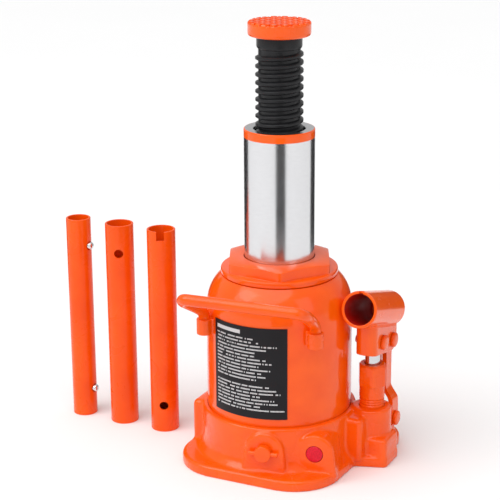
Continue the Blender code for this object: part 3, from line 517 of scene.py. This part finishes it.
for vert in ridge.verts:  # the thread runs out into the core at both ends
    along = min(vert.co.z - THREAD_FOOT + 3.0, THREAD_TOP + 3.0 - vert.co.z) / (PITCH * 0.8)
    reach = vert.co.xy.length
    if along < 1.0 and reach > ROOT_R:
        vert.co.xy *= (ROOT_R - 0.1 + max(0.0, along) * (reach - ROOT_R + 0.1)) / reach
bmesh.ops.recalc_face_normals(ridge, faces=ridge.faces)
finished("extension_screw", gathered(core, ridge), phosphate, "screw", sharp=30.0)

# ---------------------------------------------------------------------------------------------------
# Saddle: the forged pad on the screw's head, with rows of square studs that grip the load. It is
# painted, and its edges are well rounded.

SADDLE_R, SADDLE_TOP, SADDLE_FOOT = 22.75, 330.0, 319.3
STUD_PITCH, GROOVE, GROOVE_DEPTH, SADDLE_GRAIN = 5.5, 1.6, 1.8, 0.3

saddle = turned(
    [(0, SADDLE_TOP), (SADDLE_R, SADDLE_TOP, 1.9), (SADDLE_R, SADDLE_FOOT, 2.1), (8.3, SADDLE_FOOT),
     (8.3, SADDLE_FOOT + 5.6), (0, SADDLE_FOOT + 5.6)],
    128,
)
for angle in (70.0, 160.0):
    for row in range(-4, 4):
        left, right = (row + 0.5) * STUD_PITCH - GROOVE / 2, (row + 0.5) * STUD_PITCH + GROOVE / 2
        bed, above = SADDLE_TOP - GROOVE_DEPTH, SADDLE_TOP + 4.0
        trough = slab([(left, bed), (right, bed), (right + 0.4, above), (left - 0.4, above)], -30.0, 30.0, "Y")
        saddle = cut(saddle, placed(trough, turn=Matrix.Rotation(radians(angle), 4, "Z")))
saddle = cast(saddle, SADDLE_GRAIN, 4)
forged_enamel = enamel("forged_enamel", ORANGE, DEEP_ORANGE, roughness=(0.2, 0.32), peel=0.00002, lump=0.00012,
                       lump_scale=300.0)
finished("saddle", saddle, forged_enamel, "screw", sharp=60.0)

# ---------------------------------------------------------------------------------------------------
# Pump sleeve and plunger: the sleeve is a painted steel hexagon with a threaded foot that screws into
# the casting's boss, and the ground plunger works up and down through its gland.

PLUNGER_PIN_Z = 93.3
SLEEVE_R, SLEEVE_TOP, SLEEVE_FLATS, PLUNGER_R = 9.5, 75.9, 19.5, 5.6
sleeve_corner = SLEEVE_FLATS / 2 / cos(pi / 6)
gland = PLUNGER_R + 0.35
threads = []
for turn in range(3):
    low = 43.6 + 1.9 * turn
    threads = [(SLEEVE_R, low + 1.9, 0.25), (8.6, low + 0.95, 0.2)] + threads
sleeve = turned(
    [(gland, SLEEVE_TOP, 0.4), (8.9, SLEEVE_TOP), (sleeve_corner, SLEEVE_TOP), (sleeve_corner, 59.2),
     (SLEEVE_R, 58.5), *threads, (SLEEVE_R, 43.6), (SLEEVE_R, 21.0, 0.8), (gland, 21.0), (gland, 51.0),
     (8.2, 51.0), (8.2, 56.2), (gland, 56.2)],
    96, closed=True,
)
hexed(sleeve, SLEEVE_FLATS, sleeve_corner, SLEEVE_TOP, 8.9, 0.9, 0.3)
soften(sleeve, 0.4, 3, lambda edge: edge.calc_face_angle(0.0) > 0.4 and edge.verts[0].co.xy.length > 8.8
       and min(v.co.z for v in edge.verts) > 59.3)
placed(sleeve, (PUMP_X, PUMP_Y, 0), Matrix.Rotation(HEX_TURN, 4, "Z"))
finished("pump_sleeve", sleeve, forged_enamel, "jack_body")

plunger_steel = steel("plunger_steel", (0.66, 0.67, 0.69), (0.1, 0.16), 0.000002, (1.0, 1.0, 10.0))
plunger = turned(
    [(0, 99.8), (4.8, 99.8, 0.4), (PLUNGER_R, 98.6, 0.4), (PLUNGER_R, 33.5), (4.4, 33.5), (4.4, 30.5),
     (PLUNGER_R, 30.5), (PLUNGER_R, 28.4), (5.2, 27.8), (0, 27.8)],
    96,
)
eye = rod((-20, 0, PLUNGER_PIN_Z), (20, 0, PLUNGER_PIN_Z), 4.4)
finished("pump_plunger", placed(cut(plunger, eye), (PUMP_X, PUMP_Y, 0)), plunger_steel, "plunger")

# ---------------------------------------------------------------------------------------------------
# Handle socket: a thick tube that takes the pump handle, welded on a strip bent round the plunger and
# the link. The enamel is thick over its rims, and the bore is coloured deep red as painted shade for the dim
# light inside it.

SOCKET_FRONT, SOCKET_BACK = Vector((PUMP_X, -11.3, 126.8)), Vector((PUMP_X, 48.0, 109.5))
SOCKET_R, SOCKET_BORE_R, CHEEK_HALF, CHEEK_GAP = 13.7, 11.5, 8.2, 5.9
run = (SOCKET_BACK - SOCKET_FRONT).normalized()
tilt = atan2(run.z, run.y)
across = Vector((1, 0, 0))
plunger_pin, link_top, link_base = (Vector((PUMP_X, y, z)) for y, z in
                                    ((PUMP_Y, PLUNGER_PIN_Z), (LINK_Y, LINK_TOP_Z), (LINK_Y, LINK_BASE_Z)))

CHEEK_FRONT, CHEEK_FOOT, CHEEK_NOSE, WALL, SOCKET_GRAIN = 0.0, 87.3, 8.6, 3.0, 0.42


def axis_height(y):
    return SOCKET_FRONT.z + (y - SOCKET_FRONT.y) * run.z / run.y


def bent(outline, half, front, bend):
    """A slab across X, its upright front corners rounded as a bent strip's are."""
    shape = slab(outline, PUMP_X - half, PUMP_X + half, "X")
    return soften(shape, bend, 8, lambda edge: all(abs(v.co.y - front) < 0.001 for v in edge.verts)
                  and abs(edge.verts[0].co.x - edge.verts[1].co.x) < 0.001)


back = LINK_Y + CHEEK_NOSE
cheeks = bent([(CHEEK_FRONT, axis_height(CHEEK_FRONT) - 6.0), (CHEEK_FRONT, CHEEK_FOOT),
               *arc(LINK_Y, LINK_TOP_Z, CHEEK_NOSE, 258, 360, 20), (back, axis_height(back) - 6.0)],
              CHEEK_HALF, CHEEK_FRONT, 6.5)
hollow_front, hollow_top = CHEEK_FRONT + WALL, -SOCKET_R - 0.9
hollow = bent([(hollow_front, 70.0), (60.0, 70.0), (60.0, axis_height(60.0) + hollow_top),
               (hollow_front, axis_height(hollow_front) + hollow_top)], CHEEK_GAP, hollow_front, 4.0)
shape = merged(rod(SOCKET_FRONT, SOCKET_BACK, SOCKET_R, 96), cheeks)
under = SOCKET_R * cos(asin(CHEEK_HALF / SOCKET_R))
beads = []
for side in (-1, 1):
    for step in range(14):
        spot = SOCKET_FRONT + run * (18.0 + 3.0 * step)
        beads.append(bead(spot + Vector((side * (CHEEK_HALF + 0.1), 0, 0)) + under * run.cross(across), 1.5))
shape = cut(
    shape,
    hollow,
    rod(SOCKET_FRONT - 10 * run, SOCKET_BACK - 4 * run, SOCKET_BORE_R, 96),
    rod(SOCKET_FRONT, SOCKET_BACK + 10 * run, 6.5),
    placed(block((-1.5, -6.0, 9.0), (1.5, 4.0, 18.0), 0), SOCKET_FRONT, Matrix.Rotation(tilt, 4, "X")),
    gathered(rod(plunger_pin - 20 * across, plunger_pin + 20 * across, 3.3),
             rod(link_top - 20 * across, link_top + 20 * across, 4.3)),
)
socket = cast(gathered(shape, *beads), SOCKET_GRAIN, 4)
# The bore's deep red is painted shade: the dim, reddened light inside the tube, put into its colour.
bore_painted_shade = enamel("bore_painted_shade", (0.5, 0.006, 0.001), (0.42, 0.004, 0.001), roughness=(0.5, 0.65), coat=0.0)
# Faces inside the bore take the painted shade.
for face in socket.faces:
    spot = face.calc_center_median() - SOCKET_FRONT
    along = spot.dot(run)
    if 0.8 < along < 56.5 and (spot - run * along).length < SOCKET_BORE_R + 0.35:
        face.material_index = 1
pressed_enamel = enamel("pressed_enamel", ORANGE, DEEP_ORANGE, roughness=(0.18, 0.28), peel=0.00002,
                        lump=0.00008, lump_scale=220.0)
finished("handle_socket", socket, (pressed_enamel, bore_painted_shade), "socket", sharp=60.0)

# ---------------------------------------------------------------------------------------------------
# Link: two strips cut from flat bar, inside the bracket above and joggled outwards over the casting's
# ear below, on two headed pins. A spring clip holds the far end of each pin.

STRIP, STRIP_HALF, STRIP_END = 3.5, 5.2, 6.4
TOP_X, FOOT_X = CHEEK_GAP - 0.3 - STRIP, EAR_HALF + 0.3
JOGGLE_FOOT, JOGGLE_TOP = 40.0, 52.0
strip_outline = [*arc(LINK_Y, LINK_BASE_Z, STRIP_END, 180, 360, 32),
                 (LINK_Y + 6.1, 34.0), (LINK_Y + STRIP_HALF, 44.0), (LINK_Y + STRIP_HALF, 76.0),
                 *arc(LINK_Y, LINK_TOP_Z, STRIP_END, 0, 180, 32), (LINK_Y - STRIP_HALF, 76.0),
                 (LINK_Y - STRIP_HALF, 44.0), (LINK_Y - 6.1, 34.0)]
for side, name in ((1, "link_plate_outer"), (-1, "link_plate_inner")):
    plate = slab(strip_outline, TOP_X, TOP_X + STRIP, "X")
    for height in range(int(JOGGLE_FOOT) - 1, int(JOGGLE_TOP) + 2):
        bmesh.ops.bisect_plane(plate, geom=plate.verts[:] + plate.edges[:] + plate.faces[:],
                               plane_co=(0, 0, height), plane_no=(0, 0, 1))
    bmesh.ops.triangulate(plate, faces=[f for f in plate.faces if len(f.verts) > 4])
    soften(plate, 0.6, 3)
    for vert in plate.verts:  # the joggle
        share = min(1.0, max(0.0, (JOGGLE_TOP - vert.co.z) / (JOGGLE_TOP - JOGGLE_FOOT)))
        vert.co.x = PUMP_X + side * (vert.co.x + (FOOT_X - TOP_X) * share * share * (3 - 2 * share))
    bmesh.ops.recalc_face_normals(plate, faces=plate.faces)
    finished(name, plate, pressed_enamel, "link", sharp=30.0)


def headed_pin(name, at, radius, half, body):
    """A clevis pin along X: a low domed head on the +X side, and a groove for its clip on the other."""
    head, end = half + 0.3, -half - 5.0
    shape = turned(
        [(0, head + 3.0), (4.4, head + 2.7, 1.0), (5.6, head + 1.9, 0.5), (5.6, head, 0.3), (radius, head),
         (radius, end + 3.2), (radius - 0.9, end + 3.2), (radius - 0.9, end + 1.6), (radius, end + 1.6),
         (radius, end, 0.6), (0, end)],
        48,
    )
    finished(name, placed(shape, at, Matrix.Rotation(radians(90), 4, "Y")), forged_enamel, body)
    clip = bmesh.new()
    low, high = end + 1.9, end + 2.9
    corners = [(radius - 0.6, low), (radius + 2.0, low), (radius + 2.0, high), (radius - 0.6, high)]
    start = clip.faces.new([clip.verts.new((r, 0, z)) for r, z in corners])
    bmesh.ops.spin(clip, geom=[start], cent=(0, 0, 0), axis=(0, 0, 1), angle=radians(290), steps=40,
                   use_merge=False, use_duplicate=False)
    bmesh.ops.recalc_face_normals(clip, faces=clip.faces)
    soften(clip, 0.15, 2)
    finished(name + "_clip", placed(clip, at, Matrix.Rotation(radians(90), 4, "Y")), turned_steel, body)


headed_pin("plunger_pin", plunger_pin, 3.0, CHEEK_HALF, "socket")
headed_pin("link_top_pin", link_top, 4.0, CHEEK_HALF, "link")
headed_pin("link_base_pin", link_base, 4.0, FOOT_X + STRIP, "link")

# ---------------------------------------------------------------------------------------------------
# Release valve and overload valve: the release screw is turned by its cross pin, and the overload
# valve hides behind a pressed-in red plastic plug. Both sit in the bosses on the casting's front.

facing = Matrix.Rotation(VALVE_TURN, 4, "Z") @ Matrix.Rotation(radians(90), 4, "X")
stem = turned([(0, 5.4), (6.25, 5.4, 0.9), (6.25, 0.4, 0.4), (5.0, 0.4), (5.0, -2.4), (3.8, -2.4), (3.8, -4.6),
               (5.0, -4.6), (5.0, -5.2), (2.0, -6.4), (0, -6.4)], 64)
finished("release_valve_stem", placed(stem, RELEASE, facing), forged_enamel, "release_valve")
along = Vector((cos(VALVE_TURN), sin(VALVE_TURN), 0))
pin = turned([(0, 11.0), (1.6, 11.0, 0.5), (1.6, -11.0, 0.5), (0, -11.0)], 32)
lay = Vector((0, 0, 1)).rotation_difference(along).to_matrix().to_4x4()
finished("release_cross_pin", placed(pin, RELEASE + 2.9 * VALVE_OUT, lay), forged_enamel, "release_valve")

red_plastic, tree, shader, where = blank_material("red_plastic", 0.4, Coat_Weight=0.1, Coat_Roughness=0.15,
                                                  Specular_IOR_Level=0.2)
speck = noise(tree, where, 900.0, 3.0)
tree.links.new(mixed(tree, levels(tree, speck, 0.4, 0.65, 0.0, 1.0), (0.6, 0.004, 0.02), (0.74, 0.012, 0.035)),
               shader.inputs["Base Color"])
bumped(tree, shader, (speck, 0.00004))
plug = turned([(0, 0.8), (3.5, 0.75), (6.15, 0.5, 0.5), (6.15, -5.0), (0, -5.0)], 64)
finished("safety_plug", placed(plug, SAFETY, facing), red_plastic, "jack_body")

# ---------------------------------------------------------------------------------------------------
# Carry handle: one round bar, bent by hand over a former, with its ends let into two short lugs that
# are welded to the tank. Everything is painted together.

BAR_R, LUG_R, REACH, SPREAD = 4.25, 5.8, 60.0, radians(46.0)
HANDLE_TURN = radians(4.5)
LUG_LOW, LUG_HIGH = 103.0, 115.0
end_x, end_y = REACH * sin(SPREAD), -REACH * cos(SPREAD)
route = [(end_x, end_y, LUG_LOW + 1.0), (end_x, end_y, LUG_HIGH),
         (end_x + 0.2, end_y - 1.6, LUG_HIGH + 4.5), (end_x + 0.8, end_y - 7.0, 124.0),
         (end_x + 3.2, end_y - 25.0, 134.4), (end_x + 2.8, end_y - 32.0, 138.4),
         (end_x - 0.5, end_y - 35.8, 140.7), (end_x - 6.0, end_y - 36.3, 141.0)]
route += [(-x, y, z) for x, y, z in reversed(route)]
handle_facing = Matrix.Rotation(HANDLE_TURN, 3, "Z")
route = [handle_facing @ Vector(spot) for spot in route]
curve = bpy.data.curves.new("bar", "CURVE")
curve.dimensions = "3D"
curve.bevel_depth = BAR_R
curve.bevel_resolution = 10
curve.use_fill_caps = True
spline = curve.splines.new("BEZIER")
spline.bezier_points.add(len(route) - 1)
spline.resolution_u = 8
for i, (knot, spot) in enumerate(zip(spline.bezier_points, route)):
    knot.co = spot
    before, after = Vector(route[max(i - 1, 0)]), Vector(route[min(i + 1, len(route) - 1)])
    direction = (after - before).normalized()
    knot.handle_left = Vector(spot) - direction * (Vector(spot) - before).length / 3
    knot.handle_right = Vector(spot) + direction * (after - Vector(spot)).length / 3
bar_object = shown("bar", curve)
bpy.context.view_layer.update()
bar = bmesh.new()
bar_mesh = bar_object.evaluated_get(bpy.context.evaluated_depsgraph_get()).to_mesh()
bar.from_mesh(bar_mesh)
bpy.data.objects.remove(bar_object)
bmesh.ops.remove_doubles(bar, verts=bar.verts, dist=0.001)
bmesh.ops.recalc_face_normals(bar, faces=bar.faces)
finished("carry_handle", bar, pressed_enamel, "jack_body")

for side, name in ((-1, "handle_lug_left"), (1, "handle_lug_right")):
    at = handle_facing @ Vector((side * end_x, end_y, 0))
    turn = Matrix.Rotation(side * SPREAD + HANDLE_TURN, 4, "Z")
    barrel = rod(at + LUG_LOW * up, at + LUG_HIGH * up, LUG_R)
    web = placed(block((-3.6, -1.0, LUG_LOW + 0.3), (3.6, 8.0, LUG_HIGH - 0.3), 0.5), at, turn)
    welds = []
    for edge in (-4.2, 4.2):
        for step in range(6):
            welds.append(bead(at + turn @ Vector((edge, 5.4, LUG_LOW + 1.4 + 1.9 * step)), 1.3))
    lug = cut(cast(gathered(barrel, web, *welds), 0.35, 5),
              turned([(0, 130.0), (TANK_R + 0.05, 130.0), (TANK_R + 0.05, 80.0), (0, 80.0)], FINE),
              rod(at + 96 * up, at + 120 * up, BAR_R + 0.1))
    finished(name, lug, forged_enamel, "jack_body", sharp=50.0)

# ---------------------------------------------------------------------------------------------------
# Name plate: a thin aluminium foil, printed dark grey with pale rows of print, rolled to the tank and
# glued on. The print is only rows of strokes that say nothing.

FOIL_IN, FOIL_OUT, FOIL_LOW, FOIL_HIGH = 54.8, 55.15, 47.5, 117.5
FOIL_START, FOIL_SWEEP, FOIL_STEPS = radians(-123.0), radians(64.0), 48
ROWS, STROKES, LETTER_HALF, MARGIN = 27.0, 64.0, 0.21, 0.05
PRINT_LOW, PRINT_HIGH = 0.035, 0.885
TITLE_V, TITLE_HALF, TITLE_END = 0.935, 0.02, 0.42

foil = bmesh.new()
corners = [(FOIL_IN, FOIL_LOW), (FOIL_OUT, FOIL_LOW), (FOIL_OUT, FOIL_HIGH), (FOIL_IN, FOIL_HIGH)]
face = foil.faces.new([foil.verts.new((r * cos(FOIL_START), r * sin(FOIL_START), z)) for r, z in corners])
bmesh.ops.spin(foil, geom=[face], cent=(0, 0, 0), axis=(0, 0, 1), angle=FOIL_SWEEP, steps=FOIL_STEPS,
               use_merge=False, use_duplicate=False)
bmesh.ops.recalc_face_normals(foil, faces=foil.faces)
across_map = foil.loops.layers.uv.new("print")
for face in foil.faces:
    for loop in face.loops:
        spot = loop.vert.co
        loop[across_map].uv = ((atan2(spot.y, spot.x) - FOIL_START) / FOIL_SWEEP,
                               (spot.z - FOIL_LOW) / (FOIL_HIGH - FOIL_LOW))

plate_film, tree, shader, where = blank_material("plate_film", 0.45, Coat_Weight=0.06, Coat_Roughness=0.3,
                                                 Specular_IOR_Level=0.12)


def reckon(operation, first, second=None, third=None):
    """One Math node of the print's pattern."""
    node = tree.nodes.new("ShaderNodeMath")
    node.operation = operation
    for entry, value in zip(node.inputs, (first, second, third)):
        if isinstance(value, (int, float)):
            entry.default_value = value
        elif value is not None:
            tree.links.new(value, entry)
    return node.outputs[0]


def scatter(*axes):
    """A random number for each cell of whole-number coordinates."""
    join = tree.nodes.new("ShaderNodeCombineXYZ")
    for entry, value in zip(join.inputs, axes):
        if isinstance(value, (int, float)):
            entry.default_value = value
        else:
            tree.links.new(value, entry)
    node = tree.nodes.new("ShaderNodeTexWhiteNoise")
    tree.links.new(join.outputs[0], node.inputs["Vector"])
    return node.outputs["Value"]


split = tree.nodes.new("ShaderNodeSeparateXYZ")
print_map = tree.nodes.new("ShaderNodeUVMap")
print_map.uv_map = "print"
tree.links.new(print_map.outputs["UV"], split.inputs[0])
u, v = split.outputs["X"], split.outputs["Y"]
line = reckon("MULTIPLY", v, ROWS)
row = reckon("FLOOR", line)
height = reckon("ABSOLUTE", reckon("SUBTRACT", reckon("FRACT", line), 0.5))
in_row = reckon("LESS_THAN", height, LETTER_HALF)
length = reckon("MULTIPLY_ADD", scatter(row, 3.0), 0.42, 0.56)
in_line = reckon("MULTIPLY", reckon("GREATER_THAN", u, MARGIN), reckon("LESS_THAN", u, length))
stroke = reckon("MULTIPLY", u, STROKES)
inked = reckon("GREATER_THAN", scatter(reckon("FLOOR", stroke), row), 0.16)
gap = reckon("GREATER_THAN", reckon("FRACT", stroke), 0.22)
skipped = reckon("GREATER_THAN", scatter(row, 11.0), 0.14)
marks = reckon("MULTIPLY", reckon("MULTIPLY", inked, gap), skipped)
rows = reckon("MULTIPLY", reckon("MULTIPLY", in_row, in_line), marks)
below_title = reckon("MULTIPLY", reckon("LESS_THAN", v, PRINT_HIGH), reckon("GREATER_THAN", v, PRINT_LOW))
title_row = reckon("LESS_THAN", reckon("ABSOLUTE", reckon("SUBTRACT", v, TITLE_V)), TITLE_HALF)
title_line = reckon("MULTIPLY", reckon("GREATER_THAN", u, MARGIN), reckon("LESS_THAN", u, TITLE_END))
title = reckon("MULTIPLY", title_row, title_line)
ink = reckon("MAXIMUM", reckon("MULTIPLY", rows, below_title), title)
film = mixed(tree, noise(tree, where, 60.0, 3.0), (0.012, 0.011, 0.013), (0.017, 0.016, 0.018))
tree.links.new(mixed(tree, ink, film, (0.62, 0.62, 0.63)), shader.inputs["Base Color"])
tree.links.new(levels(tree, noise(tree, where, 120.0, 3.0), 0.3, 0.7, 0.32, 0.44), shader.inputs["Roughness"])
bumped(tree, shader, (noise(tree, where, 500.0, 2.0), 0.000012))
finished("name_plate", foil, plate_film, "jack_body")

# ---------------------------------------------------------------------------------------------------
# Filler plug: a moulded rubber bung in the back of the tank, pulled to fill or vent it.


def moulded(name, colour, roughness):
    made, tree, shader, where = blank_material(name, roughness)
    bloom = noise(tree, where, 240.0, 4.0)
    pale = tuple(1.9 * c + 0.004 for c in colour)
    tree.links.new(mixed(tree, bloom, colour, pale), shader.inputs["Base Color"])
    tree.links.new(levels(tree, bloom, 0.3, 0.7, roughness - 0.08, roughness + 0.08),
                   shader.inputs["Roughness"])
    bumped(tree, shader, (noise(tree, where, 1500.0, 2.0), 0.00002))
    return made


seal_rubber = moulded("seal_rubber", (0.012, 0.012, 0.013), 0.6)
bung = turned([(0, 56.9), (2.2, 56.9, 0.3), (2.8, 57.6, 0.3), (5.6, 57.6, 0.8), (7.6, 56.4, 0.5),
               (7.6, 54.9, 0.3), (5.2, 54.9), (5.2, 50.0, 0.8), (4.4, 49.0), (0, 49.0)], 64)
finished("filler_plug", placed(bung, (0, 0, FILLER_Z), Matrix.Rotation(radians(-90), 4, "X")), seal_rubber,
         "jack_body")

# ---------------------------------------------------------------------------------------------------
# Pump handle: three steel tubes that click together. Two have a cross hole, one of those a notch for
# the release pin, and the thinner joint tube carries two spring buttons. All are powder coated.

TUBE_R, JOINT_R, TUBE_LENGTH, TUBE_WALL, INSET = 11.0, 9.6, 164.0, 1.6, 22.0
FIRST_X, SPACING, TUBE_FACING = -100.0, 37.0, radians(-65.0)
powder = enamel("powder_coat", (0.93, 0.1, 0.002), (0.86, 0.08, 0.001), roughness=(0.24, 0.34), peel=0.00003,
                peel_scale=900.0, coat=0.2)
tube_out = Vector((cos(TUBE_FACING), sin(TUBE_FACING), 0))


def handle_tube(name, index, radius, holes, notched, body):
    """A cut length of tube, with its holes drilled through one wall and its ends deburred."""
    at = Vector((FIRST_X - SPACING * index, 0, 0))
    shape = placed(turned([(radius, TUBE_LENGTH, 0.5), (radius, 0, 0.5), (radius - TUBE_WALL, 0, 0.4),
                           (radius - TUBE_WALL, TUBE_LENGTH, 0.4)], 64, closed=True), at)
    for direction, height, width in holes:
        start = at + height * up
        shape = cut(shape, rod(start, start + 30 * direction, width, 48))
    if notched:
        notch = placed(block((0, -3.0, TUBE_LENGTH - 7.0), (30.0, 3.0, TUBE_LENGTH + 10.0), 0), at,
                       Matrix.Rotation(TUBE_FACING, 4, "Z"))
        shape = cut(shape, notch)
    finished(name, shape, powder, body, sharp=50.0)
    return at


handle_tube("handle_end_tube", 0, TUBE_R, [(tube_out, INSET, 3.5)], True, "end_tube")
handle_tube("handle_middle_tube", 1, TUBE_R, [(tube_out, TUBE_LENGTH - INSET, 3.5)], False, "middle_tube")
joint = handle_tube("handle_joint_tube", 2, JOINT_R,
                    [(across, INSET, 3.45), (across, TUBE_LENGTH - INSET, 3.45)], False, "joint_tube")
button_steel = steel("button_steel", (0.8, 0.8, 0.81), (0.12, 0.2), 0.000002, (6.0, 1.0, 1.0))
for level, height in (("lower", INSET), ("upper", TUBE_LENGTH - INSET)):
    button = placed(turned([(0, 12.6), (1.2, 12.5), (3.0, 11.6, 1.1), (3.0, 6.2), (4.6, 6.2), (4.6, 5.0),
                            (0, 5.0)], 48), joint + height * up, Matrix.Rotation(radians(90), 4, "Y"))
    finished("spring_button_" + level, button, button_steel, "button_" + level)

# ---------------------------------------------------------------------------------------------------
# Inside the jack: the pressure cylinder, piston, seals, valve balls, springs and strainer keep their
# CAD shapes. Each gets the finish it is made with.

honed_steel = steel("honed_steel", (0.6, 0.6, 0.62), (0.22, 0.34), 0.000004, (1.0, 1.0, 8.0))
spring_steel = steel("spring_steel", (0.5, 0.5, 0.53), (0.25, 0.4), 0.000003, (1.0, 1.0, 1.0), 800.0)
bronze = steel("bearing_bronze", (0.55, 0.33, 0.13), (0.3, 0.45), 0.000005, (1.0, 1.0, 6.0))
strainer_brass = steel("strainer_brass", (0.6, 0.42, 0.15), (0.3, 0.45), 0.00004, (1.0, 1.0, 1.0), 1800.0)
INSIDE = {
    honed_steel: ("pressure_cylinder", "ram_piston", "piston_nut", "screw_stop_ring"),
    spring_steel: ("suction_ball", "suction_spring", "delivery_ball", "delivery_spring", "release_ball",
                   "safety_ball", "safety_spring", "button_spring_upper", "button_spring_lower"),
    bronze: ("cylinder_gasket", "ram_guide_bush", "piston_wear_ring", "sleeve_gasket"),
    seal_rubber: ("tank_seal", "ram_wiper", "piston_seal", "gland_seal", "plunger_seal", "release_valve_seal"),
    strainer_brass: ("suction_strainer",),
}
for finish, nodes in INSIDE.items():
    for node in nodes:
        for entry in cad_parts[node].material_slots:
            entry.material = finish

# ---------------------------------------------------------------------------------------------------
# Studio: a pale floor under a broad soft daylight, a soft light on each side, and dark flags that are
# seen only as reflections in the glossy pieces.

FLOOR_SIZE, FLAG_R, FLAG_TOP = 12.0, 0.5, 0.2
CAMERA_TURN, CAMERA_DOWN, CAMERA_AWAY, CAMERA_HEIGHT = radians(25.0), 17.2, 1.102, 0.501
LAMP_AIM = (0, 0, 0.12)

floor_paint, tree, shader, where = blank_material("studio_floor", 0.7)
shader.inputs["Specular IOR Level"].default_value = 0.2
tree.links.new(mixed(tree, noise(tree, where, 3.0, 2.0), (0.9, 0.9, 0.9), (0.92, 0.92, 0.92)),
               shader.inputs["Base Color"])
ground = bmesh.new()
bmesh.ops.create_grid(ground, x_segments=8, y_segments=8, size=FLOOR_SIZE / 2)
mesh = meshed("floor", ground)
mesh.materials.append(floor_paint)
floor = shown("floor", mesh)
floor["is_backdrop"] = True

flag_cloth, tree, shader, where = blank_material("flag_cloth", 0.9)
tree.links.new(mixed(tree, noise(tree, where, 30.0, 2.0), (0.012, 0.012, 0.013), (0.02, 0.02, 0.022)),
               shader.inputs["Base Color"])
FLAGS = (("front_flag", -11.0, 19.0), ("left_flag", 118.0, 160.0), ("right_flag", -160.0, -118.0))
for name, start, end in FLAGS:
    flag = bmesh.new()
    first = CAMERA_TURN - pi / 2 + radians(start)
    ends = [flag.verts.new((FLAG_R * cos(first), FLAG_R * sin(first), z)) for z in (0.001, FLAG_TOP)]
    bmesh.ops.spin(flag, geom=[*ends, flag.edges.new(ends)], cent=(0, 0, 0), axis=(0, 0, 1),
                   angle=radians(end - start), steps=16, use_merge=False, use_duplicate=False)
    mesh = meshed(name, flag)
    mesh.materials.append(flag_cloth)
    hung = shown(name, mesh)
    hung.visible_camera = hung.visible_diffuse = hung.visible_shadow = False
    hung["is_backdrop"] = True


def softbox(name, place, size, power):
    lamp = bpy.data.lights.new(name, "AREA")
    lamp.shape = "RECTANGLE"
    lamp.size, lamp.size_y = size
    lamp.energy = power
    made = shown(name, lamp)
    made.location = place
    made.rotation_euler = (Vector(LAMP_AIM) - Vector(place)).to_track_quat("-Z", "Y").to_euler()


softbox("key", (-1.3, -1.3, 1.7), (1.1, 1.4), 9.0)
softbox("fill", (1.9, -0.7, 1.2), (0.9, 1.4), 4.0)
daylight = bpy.data.lights.new("daylight", "SUN")
daylight.energy, daylight.angle = 1.9, radians(70.0)
sun = shown("daylight", daylight)
sun.rotation_euler = (radians(28.0), 0.0, radians(-20.0))

world = bpy.data.worlds.new("studio")
bpy.context.scene.world = world
world.use_nodes = True
world.node_tree.nodes["Background"].inputs["Color"].default_value = (1.0, 1.0, 1.0, 1.0)
world.node_tree.nodes["Background"].inputs["Strength"].default_value = 0.55
bpy.context.scene.view_settings.view_transform = "Standard"

camera = shown("camera", bpy.data.cameras.new("camera"))
camera.data.lens, camera.data.sensor_width, camera.data.shift_x = 112.3, 36.0, -0.0588
camera.location = (CAMERA_AWAY * sin(CAMERA_TURN), -CAMERA_AWAY * cos(CAMERA_TURN), CAMERA_HEIGHT)
camera.rotation_euler = (radians(90 - CAMERA_DOWN), 0, CAMERA_TURN)
bpy.context.scene.camera = camera

low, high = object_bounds()
